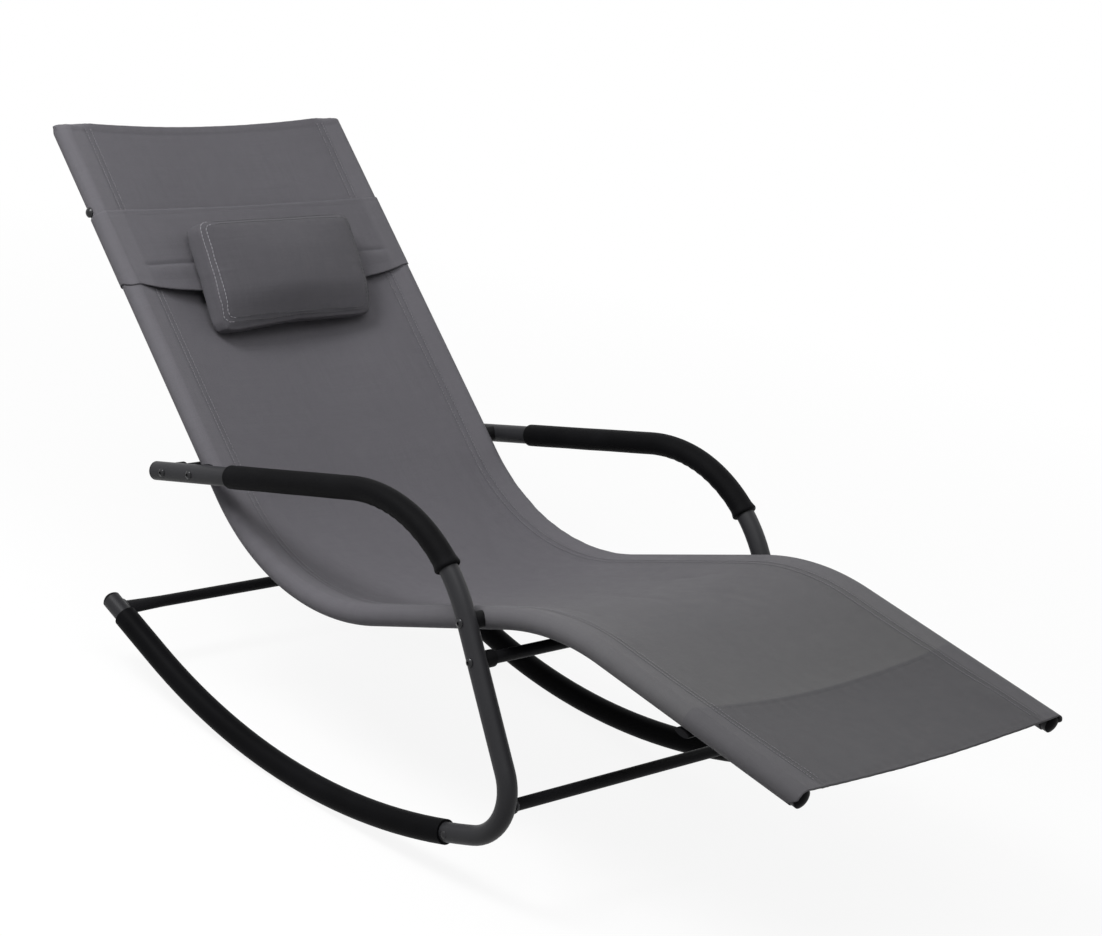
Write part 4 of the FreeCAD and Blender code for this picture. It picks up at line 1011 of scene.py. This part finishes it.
# Foam grips over the arms: rounded behind, a rolled lip at the lower end
grip = {
    "start": 0.148, "end": 0.5755, "radius": 0.0155, "inner": 0.0129, "rearRound": 0.0035,
    "frontRound": 0.0032, "frontCut": 0.0026, "lip": 0.0017, "lipAt": 0.0035, "lipLength": 0.010,
    "bend": (0.245, 0.29), "crease": 0.00035, "creasePitch": 0.017, "lumps": 0.00012, "thinEdge": 0.0003,
    "rowStep": 0.0025, "sides": 56,
}


def roundOff(distance, reach):
    # a quarter circle's fall, from 1 at the edge to 0 where the rounding begins
    left = 1 - np.clip(distance / reach, 0, 1)
    return 1 - math.sqrt(max(0, 1 - left ** 2))


def buildGrip(name, side):
    length = grip["end"] - grip["start"]
    inside = np.linspace(length - 0.001, 0.001, 30)
    outside = np.unique(np.concatenate([
        np.arange(0, length, grip["rowStep"]), np.linspace(0, grip["rearRound"], 6),
        np.linspace(length - 0.004, length, 7), [length]]))
    turn = around(grip["sides"])
    rows = []
    for place, isOutside in [(p, True) for p in outside] + [(p, False) for p in inside]:
        radius = np.full(len(turn), grip["inner"])
        if isOutside:
            radius[:] = grip["radius"]
            fromEnd = length - place
            radius -= roundOff(place, grip["rearRound"]) * (grip["radius"] - grip["inner"] - grip["thinEdge"])
            radius += grip["lip"] * math.exp(-((fromEnd - grip["lipAt"]) / (grip["lipLength"] * 0.5)) ** 2)
            radius -= roundOff(fromEnd, grip["frontRound"]) * grip["frontCut"]
            # the foam creases a little inside the bend
            bent = ease(*grip["bend"], place) * ease(length, length - 0.05, place)
            radius -= grip["crease"] * bent * np.clip(-np.cos(turn), 0, 1) ** 2 * (
                1 + math.sin(place * 2 * math.pi / grip["creasePitch"] + 2 * math.sin(place * 40)))
            radius += grip["lumps"] * ripple(place * 60, turn * 2, 51)
        ring = besideLine(armLine, grip["start"] + place, side * arm["plane"] + radius * np.sin(turn),
                          radius * np.cos(turn))
        rows.append(ring)
    rows.append(rows[0])
    points = np.array(rows)
    run = np.concatenate([outside, length + np.linspace(0, length, len(inside) + 1)])
    layout = asPoints(*np.broadcast_arrays((turn * grip["radius"])[None, :], run[:, None]))
    piece = makePiece(name, points, gridFaces(len(rows), len(turn), closed=True), "foam", "frame",
                      layout)
    closed = bmesh.new()
    closed.from_mesh(piece.data)
    bmesh.ops.remove_doubles(closed, verts=closed.verts, dist=1e-6)
    bmesh.ops.recalc_face_normals(closed, faces=closed.faces)
    closed.to_mesh(piece.data)
    closed.free()
    return piece


for side, word in ((-1, "right"), (1, "left")):
    gripPiece = buildGrip("foamGrip" + word.capitalize(), side)
    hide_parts("arm_grip_" + word)
print("foam grips fitted")


# Weld beads where the two rocker bars meet the rocker tubes
weld = {
    "radius": 0.0019, "ripples": 26, "clear": 0.0006, "sunk": 0.0004, "steps": 96, "sides": 12,
    "bars": [
        {"name": "frontBar", "node": "front_rocker_bar", "halfHeight": 0.008, "halfWidth": 0.008},
        {"name": "rearBar", "node": "rear_rocker_bar", "halfHeight": 0.0055, "halfWidth": 0.012},
    ],
}


def buildWeld(bar, side):
    points = np.array([v.co for v in nodes[bar["node"]].data.vertices])
    end = points[points[:, 1] * side > points[:, 1].max() - 0.010][:, [0, 2]]
    centre = end.mean(0)
    spread = end - centre
    _, _, axes = np.linalg.svd(spread, full_matrices=False)
    # the tube beside it runs square to the line to the runner circle's centre
    toCentre = np.array(runner["centre"]) - centre
    normal = toCentre / np.linalg.norm(toCentre)
    along = np.array([normal[1], -normal[0]])
    flat = along if bar["halfWidth"] > bar["halfHeight"] else axes[0]
    up = np.array([-flat[1], flat[0]])
    turn = around(weld["steps"])
    offset = (flat[None] * (np.cos(turn) * (bar["halfWidth"] + weld["clear"]))[:, None]
              + up[None] * (np.sin(turn) * (bar["halfHeight"] + weld["clear"]))[:, None])
    toTube = offset @ normal
    reach = arm["plane"] - np.sqrt(np.maximum(arm["tubeRadius"] ** 2 - toTube ** 2, 1e-6))
    line = asPoints(centre[0] + offset[:, 0], side * (reach - weld["sunk"]), centre[1] + offset[:, 1])
    ahead = unit(np.roll(line, -1, axis=0) - np.roll(line, 1, axis=0))
    sideways = unit(np.cross(ahead, acrossAxis))
    upward = np.cross(ahead, sideways)
    girth = weld["radius"] * (
        1 + 0.16 * np.sin(turn * weld["ripples"]) + 0.12 * ripple(turn * 2, turn * 0, 61))
    sides = around(weld["sides"])
    rings = (line[:, None] + sideways[:, None] * (girth[:, None] * np.cos(sides))[..., None]
             + upward[:, None] * (girth[:, None] * np.sin(sides))[..., None])
    rings = np.concatenate([rings, rings[:1]])
    word = "Left" if side > 0 else "Right"
    return makePiece("weldBead" + bar["name"].capitalize() + word, rings,
                     gridFaces(len(rings), len(sides), closed=True), "weld", "frame")


for bar in weld["bars"]:
    for side in (-1, 1):
        buildWeld(bar, side)
print("weld beads laid")


# Floor, light and camera
studio = {
    "floorColor": (0.95, 0.95, 0.95), "bounceColor": (0.34, 0.34, 0.34), "floorSize": 30.0,
    "glow": 0.90, "fadeStart": 1.0, "fadeEnd": 2.6, "ambient": 0.30, "aim": (-0.02, 0.0, 0.3),
    "lamps": [
        {"name": "keyLamp", "at": (1.5, -1.6, 3.5), "size": 2.2, "power": 54},
        {"name": "headLamp", "at": (-0.55, -1.5, 2.15), "size": 0.8, "power": 45},
        {"name": "backLamp", "at": (0.6, 3.2, 2.6), "size": 2.0, "power": 16},
    ],
}


def buildFloor():
    mesh = bpy.data.meshes.new("studioFloor")
    half = studio["floorSize"] / 2
    mesh.from_pydata([(-half, -half, 0), (half, -half, 0), (half, half, 0), (-half, half, 0)], [],
                     [(0, 1, 2, 3)])
    floor = addObject("studioFloor", mesh)
    floor.location.z = -0.0004
    finish = Finish("paleStudioFloor")
    x, y, _ = finish.parts(finish.place())
    fade = (x * x + y * y).root().between(studio["fadeStart"], studio["fadeEnd"])
    seen = finish.seenDirectly()
    tone = finish.mix(seen, studio["bounceColor"], studio["floorColor"])
    finish.surface({"Base Color": tone, "Roughness": 0.9, "Specular IOR Level": 0.0})
    bright = finish.node("ShaderNodeEmission", None, {"Color": (1.0, 1.0, 1.0), "Strength": 1.0})
    body = Wire(finish.tree, finish.shader.outputs[0])
    glow = (fade * (1 - studio["glow"]) + studio["glow"]) * seen
    joined = finish.node("ShaderNodeMixShader", None, {0: glow, 1: body, 2: bright})
    finish.feed(finish.tree.nodes["Material Output"].inputs["Surface"], joined)
    mesh.materials.append(finish.made)


def buildWorld():
    world = bpy.data.worlds.new("studioAir")
    world.use_nodes = True
    bpy.context.scene.world = world
    air = Graph(world.node_tree)
    background = air.tree.nodes["Background"]
    air.feed(background.inputs["Color"], (1.0, 1.0, 1.0))
    strength = air.seenDirectly() * (1.0 - studio["ambient"]) + studio["ambient"]
    air.feed(background.inputs["Strength"], strength)


def buildLamps():
    for lamp in studio["lamps"]:
        data = bpy.data.lights.new(lamp["name"], "AREA")
        data.shape = "SQUARE"
        data.size = lamp["size"]
        data.energy = lamp["power"]
        item = addObject(lamp["name"], data)
        item.location = lamp["at"]
        item.rotation_euler = (Vector(studio["aim"]) - item.location).to_track_quat("-Z", "Y").to_euler()


# The photo shows the chair tipped forward of its balance; the camera leans with it instead
view = {"at": (2.3695, -2.7223, 1.6369), "yaw": 43.0756, "pitch": 8.2140, "lean": 15.43, "lens": 94.86}


def buildCamera():
    yaw, pitch, lean = [math.radians(view[k]) for k in ("yaw", "pitch", "lean")]
    ahead = Vector((-math.sin(yaw) * math.cos(pitch), math.cos(yaw) * math.cos(pitch), -math.sin(pitch)))
    right = ahead.cross(Vector((0, 0, 1))).normalized()
    up = right.cross(ahead)
    axes = Matrix((right, up, -ahead)).transposed().to_4x4()
    tip = Matrix.Rotation(-lean, 4, "Y")
    data = bpy.data.cameras.new("photoCamera")
    data.sensor_fit = "HORIZONTAL"
    data.sensor_width = 36
    data.lens = view["lens"]
    data.dof.use_dof = False
    data.clip_end = 60
    item = addObject("photoCamera", data)
    item.matrix_world = Matrix.Translation(view["at"]) @ tip @ axes
    bpy.context.scene.camera = item


buildFloor()
buildWorld()
buildLamps()
buildCamera()
bpy.context.scene.view_settings.view_transform = "Standard"
print("studio set")

bpy.context.view_layer.update()
